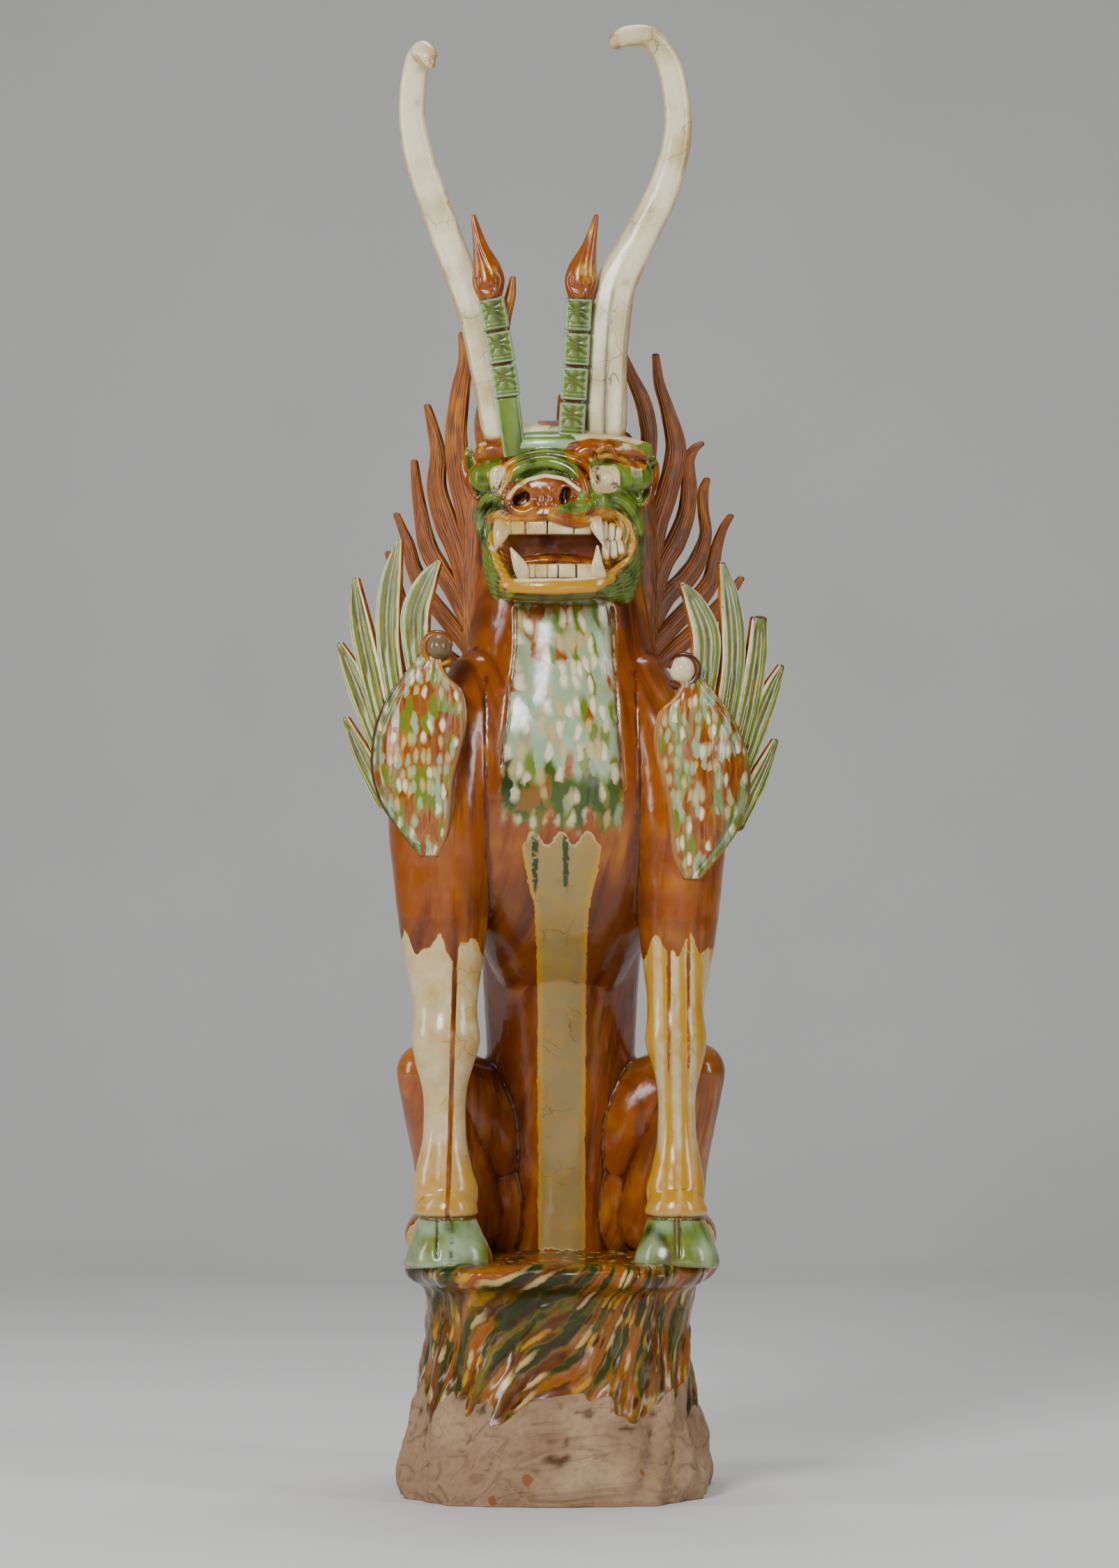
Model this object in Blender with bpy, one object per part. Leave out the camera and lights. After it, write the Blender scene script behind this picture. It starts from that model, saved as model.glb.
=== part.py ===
"""A glazed earthenware tomb guardian beast, seated on a rock plinth, as one fired piece.

The beast faces -Y. Its limbs and wings are mirrored about X = 0; the head is turned a little, and the
horns and the tongues of the mane differ from side to side. Sizes are in metres, and the stations of
each form are in millimetres. Closed forms are laid over each other as a potter builds up clay, and
are then fused to one skin.
"""

import math

import bmesh
import bpy
import numpy as np
from mathutils import Matrix, Vector

# Driving dimensions
MM = 0.001
PLINTH_TOP = 0.195
PLINTH_HALF_WIDTH = 0.130
PLINTH_HALF_DEPTH = 0.148
PLINTH_CENTRE_Y = 0.018
PLINTH_LOBE = 0.030
PLINTH_LEAN = -0.006
LEG_X = 0.0945
LEG_Y = -0.062
LEFT_GIRTH = 1.12
HEAD_CENTRE = Vector((0.005, -0.018, 0.800))
HEAD_TURN = math.radians(-8)
WING_SWEEP = math.radians(36)
WING_ROOT = Vector((0.075, -0.122, 0.0))
WING_LIFT = 0.009
SHIELD_THICKNESS = 0.022
NOSTRIL = Vector((0.021, -0.112, 0.016))
NOSTRIL_RADIUS = 0.0075
FEATHER_THICKNESS = 0.011
MANE_SWEEP = math.radians(30)
MANE_ROOT = Vector((0.070, 0.014, 0.0))
MANE_THICKNESS = 0.011

# Fineness of the fused skin
SIDES = 24
SPAN_STEPS = 5
VOXEL = 0.0022
SMOOTH_STEPS = 2
TRIANGLES = 9700
TRIM_DEPTH = 0.02
LEAST_HALF = 0.0003
DOME_ANGLES = [math.radians(a) for a in (30, 58, 82)]

FRONT = Vector((0, -1, 0))
UP = Vector((0, 0, 1))


def spline(rows, steps=SPAN_STEPS):
    """Rows of numbers made denser along a smooth curve that passes through each of them."""
    rows = np.array(rows, float)
    padded = np.vstack([2 * rows[0] - rows[1], rows, 2 * rows[-1] - rows[-2]])
    dense = []
    for a, b, c, d in zip(padded, padded[1:], padded[2:], padded[3:]):
        for t in np.arange(steps) / steps:
            cubic = (3 * b - a - 3 * c + d) * t**3
            dense.append(0.5 * (2 * b + (c - a) * t + (2 * a - 5 * b + 4 * c - d) * t**2 + cubic))
    dense.append(rows[-1])
    return np.array(dense)


def rounded(angle, corner):
    """The two unit offsets of a ring at this angle: a circle at corner 2, squarer above that."""
    c, s = math.cos(angle), math.sin(angle)
    return math.copysign(abs(c) ** (2 / corner), c), math.copysign(abs(s) ** (2 / corner), s)


def add_rings(bm, rings):
    """A closed shell through rings of points, with flat ends."""
    loops = [[bm.verts.new(point) for point in ring] for ring in rings]
    for low, high in zip(loops, loops[1:]):
        for i, vert in enumerate(low):
            j = (i + 1) % len(low)
            bm.faces.new((vert, low[j], high[j], high[i]))
    bm.faces.new(reversed(loops[0]))
    bm.faces.new(loops[-1])


def with_domes(rows):
    """Rows with a dome added at each end, as deep as the end's smaller half size."""
    domed = [list(row) for row in rows]
    for end, inner in ((0, 1), (-1, -2)):
        row = rows[end]
        out = (rows[end][:3] - rows[inner][:3]) / np.linalg.norm(rows[end][:3] - rows[inner][:3])
        rings = []
        for angle in DOME_ANGLES:
            centre = row[:3] + out * min(row[3:]) * math.sin(angle)
            rings.append([*centre, *(row[3:] * math.cos(angle))])
        domed = rings[::-1] + domed if end == 0 else domed + rings
    return np.array(domed)


def add_skin(bm, rows, front=FRONT, corner=2.0, place=None, steps=SPAN_STEPS, domed=True):
    """A closed limb through rows of x, y, z, half width and half depth towards front, in millimetres."""
    dense = MM * spline(rows, steps)
    if domed:
        dense = with_domes(dense)
    points = [Vector(row[:3]) for row in dense]
    rings = []
    for i, (point, row) in enumerate(zip(points, dense)):
        along = (points[min(i + 1, len(points) - 1)] - points[max(i - 1, 0)]).normalized()
        forward = (front - front.dot(along) * along).normalized()
        across = along.cross(forward)
        half_width, half_depth = max(row[3], LEAST_HALF), max(row[4], LEAST_HALF)
        ring = []
        for k in range(SIDES):
            u, v = rounded(2 * math.pi * k / SIDES, corner)
            ring.append(point + across * half_width * u + forward * half_depth * v)
        rings.append([place @ p for p in ring] if place else ring)
    add_rings(bm, rings)


def add_ball(bm, centre, halves, place=None):
    """An ellipsoid with its centre and half sizes in millimetres."""
    matrix = Matrix.Translation(MM * Vector(centre)) @ Matrix.Diagonal((*(MM * Vector(halves)), 1))
    matrix = place @ matrix if place else matrix
    bmesh.ops.create_uvsphere(bm, u_segments=SIDES, v_segments=SIDES // 2, radius=1, matrix=matrix)


def add_blade(bm, stations, thickness, place):
    """A tongue or feather through stations of x, z and width, thinner towards its tip."""
    rows = []
    for k, (x, z, width) in enumerate(stations):
        taper = 1 - 0.45 * k / (len(stations) - 1)
        rows.append((x, 0, z, width / 2, 0.5 * thickness * taper / MM))
    add_skin(bm, rows, place=place, corner=2.6)


def mirrored(side, rows):
    """Rows with their x on the given side of the beast, -1 or 1."""
    return [(side * row[0], *row[1:]) for row in rows]


def fan_place(side, root, sweep):
    """The frame of a fan that is drawn as it looks from the front, then swept back from its root."""
    stand = Matrix.Translation((side * root.x, root.y, root.z))
    turn = Matrix.Rotation(side * sweep, 4, "Z")
    stretch = Matrix.Diagonal((side / math.cos(sweep), 1, 1, 1))
    return stand @ turn @ stretch @ Matrix.Translation((-root.x, 0, 0))


def add_torso(bm):
    """Seat, belly, chest and neck as one column that leans forward towards the chest."""
    rows = [
        (0, 82, 165, 56, 52),
        (0, 84, 215, 60, 58),
        (0, 79, 265, 60, 60),
        (0, 68, 330, 61, 60),
        (0, 46, 430, 66, 66),
        (0, 18, 510, 78, 78),
        (0, 0, 575, 86, 90),
        (0, -6, 640, 84, 86),
        (0, -4, 700, 77, 74),
        (0, -4, 750, 68, 62),
        (0, -6, 800, 58, 52),
        (0, -4, 840, 50, 44),
    ]
    add_skin(bm, rows, domed=False)
    breast = [
        (0, 36, 392, 30, 12),
        (0, 13, 428, 54, 30),
        (0, -5, 462, 70, 39),
        (0, -23, 500, 85, 45),
        (0, -36, 545, 97, 48),
        (0, -40, 590, 98, 52),
        (0, -34, 640, 90, 54),
        (0, -24, 685, 75, 46),
        (0, -16, 715, 60, 36),
    ]
    add_skin(bm, breast, corner=2.3)


def add_foreleg(bm, side, girth):
    """A straight foreleg: shoulder, forearm, knee, cannon and fetlock; girth widens it."""
    rows = [
        (92, -60, 225, 19, 19),
        (94, -63, 250, 24, 24),
        (95, -63, 268, 21, 22),
        (95, -62, 296, 16, 18),
        (95, -62, 332, 16, 18),
        (95, -65, 358, 22, 23),
        (94, -67, 376, 25, 26),
        (94, -64, 400, 23, 25),
        (95, -60, 430, 27, 30),
        (96, -56, 465, 32, 37),
        (97, -52, 510, 36, 44),
        (96, -48, 560, 40, 52),
        (86, -38, 615, 36, 54),
        (66, -24, 665, 26, 42),
    ]
    rows = [(x, y, z, girth * half_width, half_depth) for x, y, z, half_width, half_depth in rows]
    add_skin(bm, mirrored(side, rows))


def add_hoof(bm, side, toe_turn):
    """A fore hoof: a coronet band over a wedge that widens to the ground."""
    place = Matrix.Translation((side * LEG_X, LEG_Y, PLINTH_TOP)) @ Matrix.Rotation(toe_turn, 4, "Z")
    wall = [
        (0, -14, -6, 35, 40),
        (0, -13, 3, 35, 39),
        (0, -9, 18, 29, 33),
        (0, -5, 34, 23, 26),
        (0, -3, 42, 18, 20),
    ]
    add_skin(bm, wall, corner=2.6, place=place, domed=False)
    coronet = [
        (0, -5, 30, 21, 24),
        (0, -6, 38, 26, 30),
        (0, -4, 45, 24, 27),
        (0, 0, 53, 18, 20),
    ]
    add_skin(bm, coronet, place=place)


def add_hind_leg(bm, side):
    """A folded hind leg: thigh up to the knee, shank down to the hock, and a foot beside the fore hoof."""
    thigh = [
        (44, 104, 250, 50, 54),
        (60, 80, 276, 54, 60),
        (84, 42, 312, 46, 50),
        (103, 10, 338, 30, 33),
    ]
    add_skin(bm, mirrored(side, thigh), front=UP)
    shank = [
        (112, -2, 346, 24, 26),
        (103, 8, 312, 27, 32),
        (90, 24, 266, 32, 34),
        (82, 36, 220, 36, 32),
    ]
    add_skin(bm, mirrored(side, shank))
    haunch = [(46, 90, 205, 38, 50), (56, 82, 235, 46, 58), (52, 86, 275, 42, 54)]
    add_skin(bm, mirrored(side, haunch))
    foot = [
        (84, 90, 208, 22, 20),
        (90, 62, 216, 28, 26),
        (100, 12, 214, 26, 23),
        (108, -22, 212, 21, 20),
        (111, -38, 208, 16, 15),
    ]
    add_skin(bm, mirrored(side, foot), front=UP)


def plinth_ring(z, spread, lobe):
    """One ring of the plinth: a rounded oval of modelled rock with two lobes at its front."""
    ring = []
    for k in range(6 * SIDES):
        angle = 2 * math.pi * k / (6 * SIDES)
        u, v = rounded(angle, 2.8)
        rock = 0.0022 * math.sin(11 * angle + 45 * z) + 0.0016 * math.sin(23 * angle - 80 * z)
        front_share = max(0.0, -v) ** 3
        lobes = math.exp(-(((abs(u) - 0.62) / 0.34) ** 2)) - 0.35 * math.exp(-((u / 0.25) ** 2))
        x = u * (PLINTH_HALF_WIDTH * spread + rock) + PLINTH_LEAN * (1 - z / PLINTH_TOP)
        y = PLINTH_CENTRE_Y + v * (PLINTH_HALF_DEPTH * spread + rock) - lobe * front_share * lobes
        ring.append(Vector((x, y, z)))
    return ring


def add_plinth(bm):
    """The rock plinth: a spreading foot, a waist, and a slab with a lobe under each fore hoof."""
    heights = [
        (-0.010, 0.975, 0.20),
        (0.000, 0.985, 0.20),
        (0.014, 1.000, 0.20),
        (0.040, 0.955, 0.18),
        (0.075, 0.885, 0.15),
        (0.110, 0.845, 0.12),
        (0.140, 0.830, 0.12),
        (0.160, 0.850, 0.20),
        (0.172, 0.890, 0.50),
        (0.180, 0.945, 0.95),
        (0.188, 0.965, 1.00),
        (PLINTH_TOP - 0.001, 0.955, 0.95),
        (PLINTH_TOP, 0.930, 0.85),
    ]
    rings = []
    for z, spread, lobe in spline(heights, 3):
        rings.append(plinth_ring(z, spread, PLINTH_LOBE * lobe))
    add_rings(bm, rings)


def head_place():
    """The head's own frame: its origin between the jaws, its muzzle along -Y, turned to one side."""
    return Matrix.Translation(HEAD_CENTRE) @ Matrix.Rotation(HEAD_TURN, 4, "Z")


def add_skull(bm, place):
    """Skull, forehead block, upper jaw and nose."""
    add_ball(bm, (0, 4, 14), (61, 60, 62), place)
    forehead = [(0, 0, 52, 54, 30), (0, -34, 54, 52, 28), (0, -60, 52, 46, 24), (0, -68, 48, 38, 18)]
    add_skin(bm, forehead, front=UP, corner=3.2, place=place)
    muzzle = [
        (0, 0, 12, 60, 30),
        (0, -40, 14, 58, 28),
        (0, -72, 12, 50, 22),
        (0, -94, 9, 43, 13),
        (0, -98, 8, 37, 9),
    ]
    add_skin(bm, muzzle, front=UP, corner=2.9, place=place)
    bridge = [(0, -50, 42, 30, 16), (0, -72, 38, 28, 14), (0, -92, 30, 22, 10)]
    add_skin(bm, bridge, front=UP, place=place)
    roll = [
        (-36, -84, 12, 6, 7),
        (-27, -88, 33, 7, 8),
        (0, -86, 44, 7, 8),
        (27, -88, 33, 7, 8),
        (36, -84, 12, 6, 7),
    ]
    add_skin(bm, roll, place=place)
    nose = [(0, -80, 23, 26, 12), (0, -98, 20, 25, 13), (0, -107, 16, 20, 11)]
    add_skin(bm, nose, front=UP, place=place)
    for side in (-1, 1):
        add_ball(bm, (side * 21, -98, 16), (13, 14, 12), place)


def add_jaw(bm, place):
    """Lower jaw, throat, and the two rows of teeth."""
    jaw = [
        (0, 10, -40, 52, 30),
        (0, -30, -54, 54, 17),
        (0, -66, -57, 46, 12),
        (0, -88, -57, 39, 11),
        (0, -97, -57, 30, 7),
    ]
    add_skin(bm, jaw, front=UP, corner=2.9, place=place)
    add_ball(bm, (0, 2, -30), (56, 42, 46), place)
    for y, middle, tall in ((-90, -3, 9), (-84, -44, 8)):
        row = [(x, y + (8 if abs(x) > 30 else 0), middle, tall, 5) for x in (-36, -24, 24, 36)]
        add_skin(bm, row, corner=3.6, place=place)


def add_cheek(bm, side, place):
    """One cheek, its mouth corner, fangs, eye, brow and ear."""
    add_ball(bm, (side * 50, -20, -14), (17, 44, 56), place)
    lip = [
        (34, -96, 2, 6, 6),
        (48, -78, 2, 7, 6),
        (58, -52, -6, 7, 6),
        (60, -42, -24, 7, 6),
        (55, -56, -42, 7, 6),
        (38, -86, -52, 6, 5),
    ]
    add_skin(bm, mirrored(side, lip), front=Vector((side, -0.3, 0)), place=place)
    for top, bottom in ((2, -26), (-50, -20)):
        fang = [(37, -90, top, 7, 5), (38, -94, 0.5 * (top + bottom), 5, 5), (40, -95, bottom, 2, 2)]
        add_skin(bm, mirrored(side, fang), place=place)
    add_ball(bm, (side * 42, -62, 36), (12, 10, 11), place)
    brow = [(18, -72, 42, 7, 7), (34, -72, 54, 10, 10), (54, -56, 58, 10, 11), (66, -32, 48, 8, 8)]
    add_skin(bm, mirrored(side, brow), front=UP, place=place)
    ear = [(60, -10, 14, 9, 9), (68, -15, 32, 12, 9), (73, -12, 48, 9, 7), (75, -6, 62, 3, 3)]
    add_skin(bm, mirrored(side, ear), place=place)


def add_head(bm):
    """The open-mouthed head."""
    place = head_place()
    add_skull(bm, place)
    add_jaw(bm, place)
    for side in (-1, 1):
        add_cheek(bm, side, place)


# Each horn, from its root to its tip: x, y, z, half width, half depth in millimetres
LEFT_HORN = (
    (-48, -66, 845, 17, 17),
    (-52, -70, 881, 14, 16),
    (-59, -72, 915, 13, 16),
    (-70, -74, 966, 13, 15),
    (-81, -74, 998, 13, 14),
    (-92, -74, 1028, 13, 14),
    (-105, -76, 1064, 12.5, 13),
    (-116, -79, 1098, 12, 12),
    (-121, -84, 1132, 11, 11),
    (-118, -94, 1164, 10.5, 10.5),
    (-113, -110, 1176, 9.5, 9.5),
    (-108, -122, 1173, 8.5, 8.5),
    (-106, -127, 1166, 5, 5),
)
RIGHT_HORN = (
    (34, -66, 845, 19, 17),
    (36, -70, 881, 17.5, 16),
    (37, -72, 926, 16.5, 16),
    (40, -74, 966, 17, 15),
    (47, -74, 996, 16, 14),
    (67, -74, 1034, 14, 14),
    (86, -76, 1074, 13, 13),
    (95, -80, 1112, 11.5, 12),
    (94, -84, 1144, 11, 11),
    (87, -91, 1172, 10, 10),
    (72, -100, 1190, 9, 9),
    (55, -108, 1190, 8.5, 8.5),
    (46, -112, 1186, 7, 7),
)
# The studded strip on the inner front of each horn: x, y, z
LEFT_STRIP = ((-37, -80, 852), (-40, -83, 874), (-44, -85, 906), (-49, -86, 938), (-57, -88, 980))
RIGHT_STRIP = ((8, -80, 852), (9, -83, 874), (11, -85, 906), (13, -86, 938), (15, -88, 980))

# The small flame that shows behind the left strip
SPUR = ((-50, -76, 930, 6, 7), (-46, -75, 962, 5.5, 6), (-41, -76, 982, 4.5, 5), (-39, -78, 996, 2.5, 3))


def add_horn(bm, horn, strip, plain_share, studs, lean):
    """One horn with its strip, studded above a plain share, and the flame bud that ends the strip."""
    add_skin(bm, horn, corner=2.6)
    backing = [(x, y + 8, z, 8, 11) for x, y, z in strip]
    add_skin(bm, backing, corner=4.0)
    path = spline(strip, 12)
    first = plain_share * (len(path) - 1)
    pitch = (len(path) - 1 - first) / studs
    for k in range(studs):
        ends = [path[int(round(first + pitch * (k + share)))] for share in (0.08, 0.92)]
        add_skin(bm, [(x, y, z, 9, 8) for x, y, z in ends], corner=5.0, steps=1, domed=False)
    x, y, z = strip[-1]
    flame = [
        (x, y, z - 4, 8, 8),
        (x + 0.1 * lean, y, z + 10, 13, 11),
        (x + 0.2 * lean, y, z + 22, 12, 10),
        (x + 0.6 * lean, y, z + 42, 6, 6),
        (x + lean, y, z + 66, 2, 2),
    ]
    add_skin(bm, flame)


# The wing as it looks from the front. Its shield has a height, an inner and an outer edge, and how far it
# stands proud of the shoulder; each feather has stations of x, z and width.
SHIELD = (
    (516, 99, 114, -8), (535, 91, 130, -5), (556, 88, 145, 0), (580, 86, 154, 2), (600, 81, 155, 3),
    (620, 76, 152, 4), (638, 76, 145, 4), (652, 80, 137, 4), (662, 90, 129, 4), (672, 96, 121, 3),
    (682, 97, 114, 2),
)
SHIELD_SPREAD = 10
SHOULDER_X = 92
SHOULDER_Y = -50
SHOULDER_HALVES = (67, 55)
CURL = (99, -99, 686)
FEATHERS = (
    ((112, 655, 18), (117, 690, 22), (117, 716, 23), (108, 740, 16), (99, 754, 5)),
    ((132, 640, 18), (139, 685, 19), (140, 716, 20), (137, 745, 16), (131, 772, 5)),
    ((144, 625, 18), (154, 665, 19), (162, 700, 18), (166, 726, 12), (167, 742, 5)),
    ((146, 605, 16), (160, 642, 19), (171, 668, 15), (180, 689, 5)),
    ((142, 560, 14), (158, 592, 16), (168, 612, 11), (175, 628, 5)),
)
BROKEN_PLACE = 2
BROKEN_FEATHER = ((144, 625, 18), (154, 665, 19), (160, 700, 17), (162, 728, 13))


def shield_front(x):
    """How far forward the shield lies at this x, where it wraps round the shoulder, in millimetres."""
    share = min(1.0, abs((x - SHOULDER_X) / SHOULDER_HALVES[0]))
    return SHOULDER_Y - SHOULDER_HALVES[1] * math.sqrt(1 - share**2)


def add_wing(bm, side):
    """One wing: a curled shield wrapped round the shoulder, and a fan of feathers swept back."""
    lift = Matrix.Translation(-side * WING_LIFT * UP)
    mirror = lift @ Matrix.Diagonal((side, 1, 1, 1))
    rings = []
    for z, inner, outer, proud in spline(SHIELD, 3):
        xs = np.linspace(inner, outer, SHIELD_SPREAD)
        front = [(x, shield_front(x) - proud, z) for x in xs]
        back = [(x, y + SHIELD_THICKNESS / MM, z) for x, y, z in front]
        rings.append([mirror @ (MM * Vector(point)) for point in (*front, *reversed(back))])
    add_rings(bm, rings)
    add_ball(bm, CURL, (15, 17, 16), mirror)
    place = fan_place(side, WING_ROOT - side * WING_LIFT * UP, WING_SWEEP)
    for k, feather in enumerate(FEATHERS):
        is_broken = side > 0 and k == BROKEN_PLACE
        add_blade(bm, BROKEN_FEATHER if is_broken else feather, FEATHER_THICKNESS, place)


# The tongues of the mane as they look from the front, root to tip: x, z and width in millimetres
LEFT_TONGUES = (
    ((62, 850, 9), (66, 878, 9), (66, 895, 6), (65, 908, 4)),
    ((66, 700, 20), (71, 771, 19), (76, 806, 20), (84, 841, 19),
     (87, 876, 18), (83, 912, 15), (79, 936, 11), (82, 958, 5)),
    ((66, 700, 18), (84, 771, 16), (95, 801, 19), (103, 830, 16),
     (102, 859, 12), (107, 884, 8), (111, 899, 5)),
    ((66, 700, 14), (90, 746, 14), (101, 764, 16), (111, 783, 15),
     (116, 807, 11), (120, 833, 8), (122, 853, 5)),
    ((66, 685, 14), (97, 724, 13), (113, 744, 13), (122, 764, 12),
     (127, 784, 9), (132, 797, 6), (137, 809, 5)),
    ((66, 670, 14), (105, 698, 12), (123, 716, 12), (134, 738, 10), (139, 762, 7), (144, 777, 5)),
)
RIGHT_TONGUES = (
    ((66, 790, 13), (73, 862, 12), (72, 886, 13), (67, 905, 12), (59, 922, 9), (53, 938, 5)),
    ((66, 700, 18), (75, 771, 17), (80, 800, 17), (88, 824, 17),
     (96, 862, 17), (89, 895, 11), (82, 917, 8), (79, 940, 5)),
    ((66, 700, 18), (83, 761, 15), (95, 784, 16), (104, 807, 14),
     (107, 831, 12), (106, 852, 10), (111, 863, 7), (117, 868, 5)),
    ((66, 700, 16), (87, 738, 15), (104, 755, 17), (115, 772, 14),
     (121, 793, 9), (119, 813, 8), (119, 828, 8), (122, 838, 5)),
    ((66, 685, 16), (95, 718, 15), (113, 736, 16), (125, 753, 14),
     (128, 770, 10), (131, 784, 8), (136, 798, 6), (142, 808, 5)),
    ((66, 670, 14), (104, 704, 14), (122, 720, 14), (137, 738, 10), (145, 748, 7), (151, 756, 5)),
)


def add_mane(bm, side, tongues):
    """One side of the mane: a thin web along the neck and the tongues of flame that leave it."""
    place = fan_place(side, MANE_ROOT, MANE_SWEEP)
    web = [
        (54, 0, 620, 14, 6),
        (60, 0, 680, 20, 7),
        (62, 0, 760, 20, 7),
        (58, 0, 830, 18, 7),
        (48, 4, 870, 12, 6),
    ]
    add_skin(bm, web, place=place, corner=2.6)
    for stations in tongues:
        add_blade(bm, stations, MANE_THICKNESS, place)


# Where each flame of the crest leaves the back: y, z and its scale
CREST = (
    (38, 815, 1.25), (52, 748, 1.05), (66, 684, 1.0), (84, 620, 0.95), (98, 556, 0.9), (110, 492, 0.85),
    (124, 428, 0.8),
)


def add_crest(bm):
    """The row of flames down the spine, from the back of the head to the rump, and the tail."""
    for back, height, scale in CREST:
        rows = [
            (0, back - 16, height - 10, 6, 17 * scale),
            (0, back + 4 * scale, height + 16 * scale, 6, 15 * scale),
            (0, back + 14 * scale, height + 38 * scale, 5, 10 * scale),
            (0, back + 17 * scale, height + 58 * scale, 4, 6 * scale),
            (0, back + 24 * scale, height + 76 * scale, 3, 3),
        ]
        add_skin(bm, rows)
    tail = [
        (0, 130, 205, 17, 16),
        (0, 146, 238, 15, 13),
        (0, 145, 285, 16, 12),
        (0, 137, 330, 13, 10),
        (0, 140, 362, 6, 5),
    ]
    add_skin(bm, tail)


def glaze():
    """The amber glaze that covers most of the piece."""
    material = bpy.data.materials.new("amber_glaze")
    material.use_nodes = True
    shader = material.node_tree.nodes["Principled BSDF"]
    shader.inputs["Base Color"].default_value = (0.36, 0.13, 0.03, 1)
    shader.inputs["Roughness"].default_value = 0.2
    shader.inputs["Metallic"].default_value = 0.0
    return material


def drop_crumbs(bm):
    """Only the largest connected body is kept, in case a thin tip has come off in the fusing."""
    bodies = []
    left = set(bm.verts)
    while left:
        body = {left.pop()}
        edge_of_body = set(body)
        while edge_of_body:
            near = {edge.other_vert(vert) for vert in edge_of_body for edge in vert.link_edges}
            edge_of_body = near - body
            body |= edge_of_body
        left -= body
        bodies.append(body)
    crumbs = [vert for body in sorted(bodies, key=len)[:-1] for vert in body]
    bmesh.ops.delete(bm, geom=crumbs, context="VERTS")


def fuse(bm, name):
    """One object whose overlapping closed forms are fused, softened and thinned out."""
    bmesh.ops.recalc_face_normals(bm, faces=bm.faces)
    forms = bpy.data.objects.new("overlapping_forms", bpy.data.meshes.new("overlapping_forms"))
    bm.to_mesh(forms.data)
    bm.free()
    bpy.context.collection.objects.link(forms)
    skin = forms.modifiers.new("fused skin", "REMESH")
    skin.mode = "VOXEL"
    skin.voxel_size = VOXEL
    soften = forms.modifiers.new("softened joins", "SMOOTH")
    soften.factor = 0.5
    soften.iterations = SMOOTH_STEPS
    graph = bpy.context.evaluated_depsgraph_get()
    mesh = bpy.data.meshes.new_from_object(forms.evaluated_get(graph))
    mesh.name = name
    bpy.data.objects.remove(forms)
    fused = bmesh.new()
    fused.from_mesh(mesh)
    drop_crumbs(fused)
    bmesh.ops.triangulate(fused, faces=fused.faces)
    fused.to_mesh(mesh)
    dense_count = len(fused.faces)
    fused.free()
    beast = bpy.data.objects.new(name, mesh)
    bpy.context.collection.objects.link(beast)
    thin = beast.modifiers.new("fewer faces", "DECIMATE")
    thin.ratio = TRIANGLES / dense_count
    return beast


def add_cutter(beast):
    """What is cut away last: the clay below height zero, and the two nostrils."""
    mesh = bpy.data.meshes.new("cutter")
    bm = bmesh.new()
    size = Matrix.Diagonal((0.6, 0.6, TRIM_DEPTH, 1))
    bmesh.ops.create_cube(bm, size=1, matrix=Matrix.Translation((0, 0, -TRIM_DEPTH / 2)) @ size)
    for side in (-1, 1):
        centre = Vector((side * NOSTRIL.x, NOSTRIL.y, NOSTRIL.z))
        ball = head_place() @ Matrix.Translation(centre)
        bmesh.ops.create_uvsphere(bm, u_segments=8, v_segments=6, radius=NOSTRIL_RADIUS, matrix=ball)
    bm.to_mesh(mesh)
    bm.free()
    cutter = bpy.data.objects.new("cutter", mesh)
    bpy.context.collection.objects.link(cutter)
    cutter.hide_render = True
    cutter.display_type = "WIRE"
    cut = beast.modifiers.new("underside and nostrils", "BOOLEAN")
    cut.operation = "DIFFERENCE"
    cut.solver = "EXACT"
    cut.object = cutter


def main():
    for obj in list(bpy.data.objects):
        bpy.data.objects.remove(obj)
    bm = bmesh.new()
    add_plinth(bm)
    add_torso(bm)
    add_head(bm)
    add_crest(bm)
    for side in (-1, 1):
        add_foreleg(bm, side, LEFT_GIRTH if side < 0 else 1)
        add_hoof(bm, side, math.radians(12 if side < 0 else 0))
        add_hind_leg(bm, side)
        add_wing(bm, side)
    add_horn(bm, LEFT_HORN, LEFT_STRIP, 0.36, 3, -14)
    add_skin(bm, SPUR)
    add_horn(bm, RIGHT_HORN, RIGHT_STRIP, 0.12, 4, 14)
    add_mane(bm, -1, LEFT_TONGUES)
    add_mane(bm, 1, RIGHT_TONGUES)
    beast = fuse(bm, "tomb_guardian_beast")
    beast.data.materials.append(glaze())
    add_cutter(beast)


main()
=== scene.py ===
"""A glazed earthenware tomb guardian beast on its rock plinth, dressed and lit as in a studio photograph.

The beast faces -Y. Forms are closed shells through stations given in millimetres; soft forms are fused to
one skin, while horns, feathers, mane and plinth keep their rings so that carving follows their run.
"""

import logging
import math
from collections.abc import Callable, Sequence
from dataclasses import dataclass, field
from enum import Enum

import bpy
import numpy as np
from mathutils import Matrix, Vector


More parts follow.
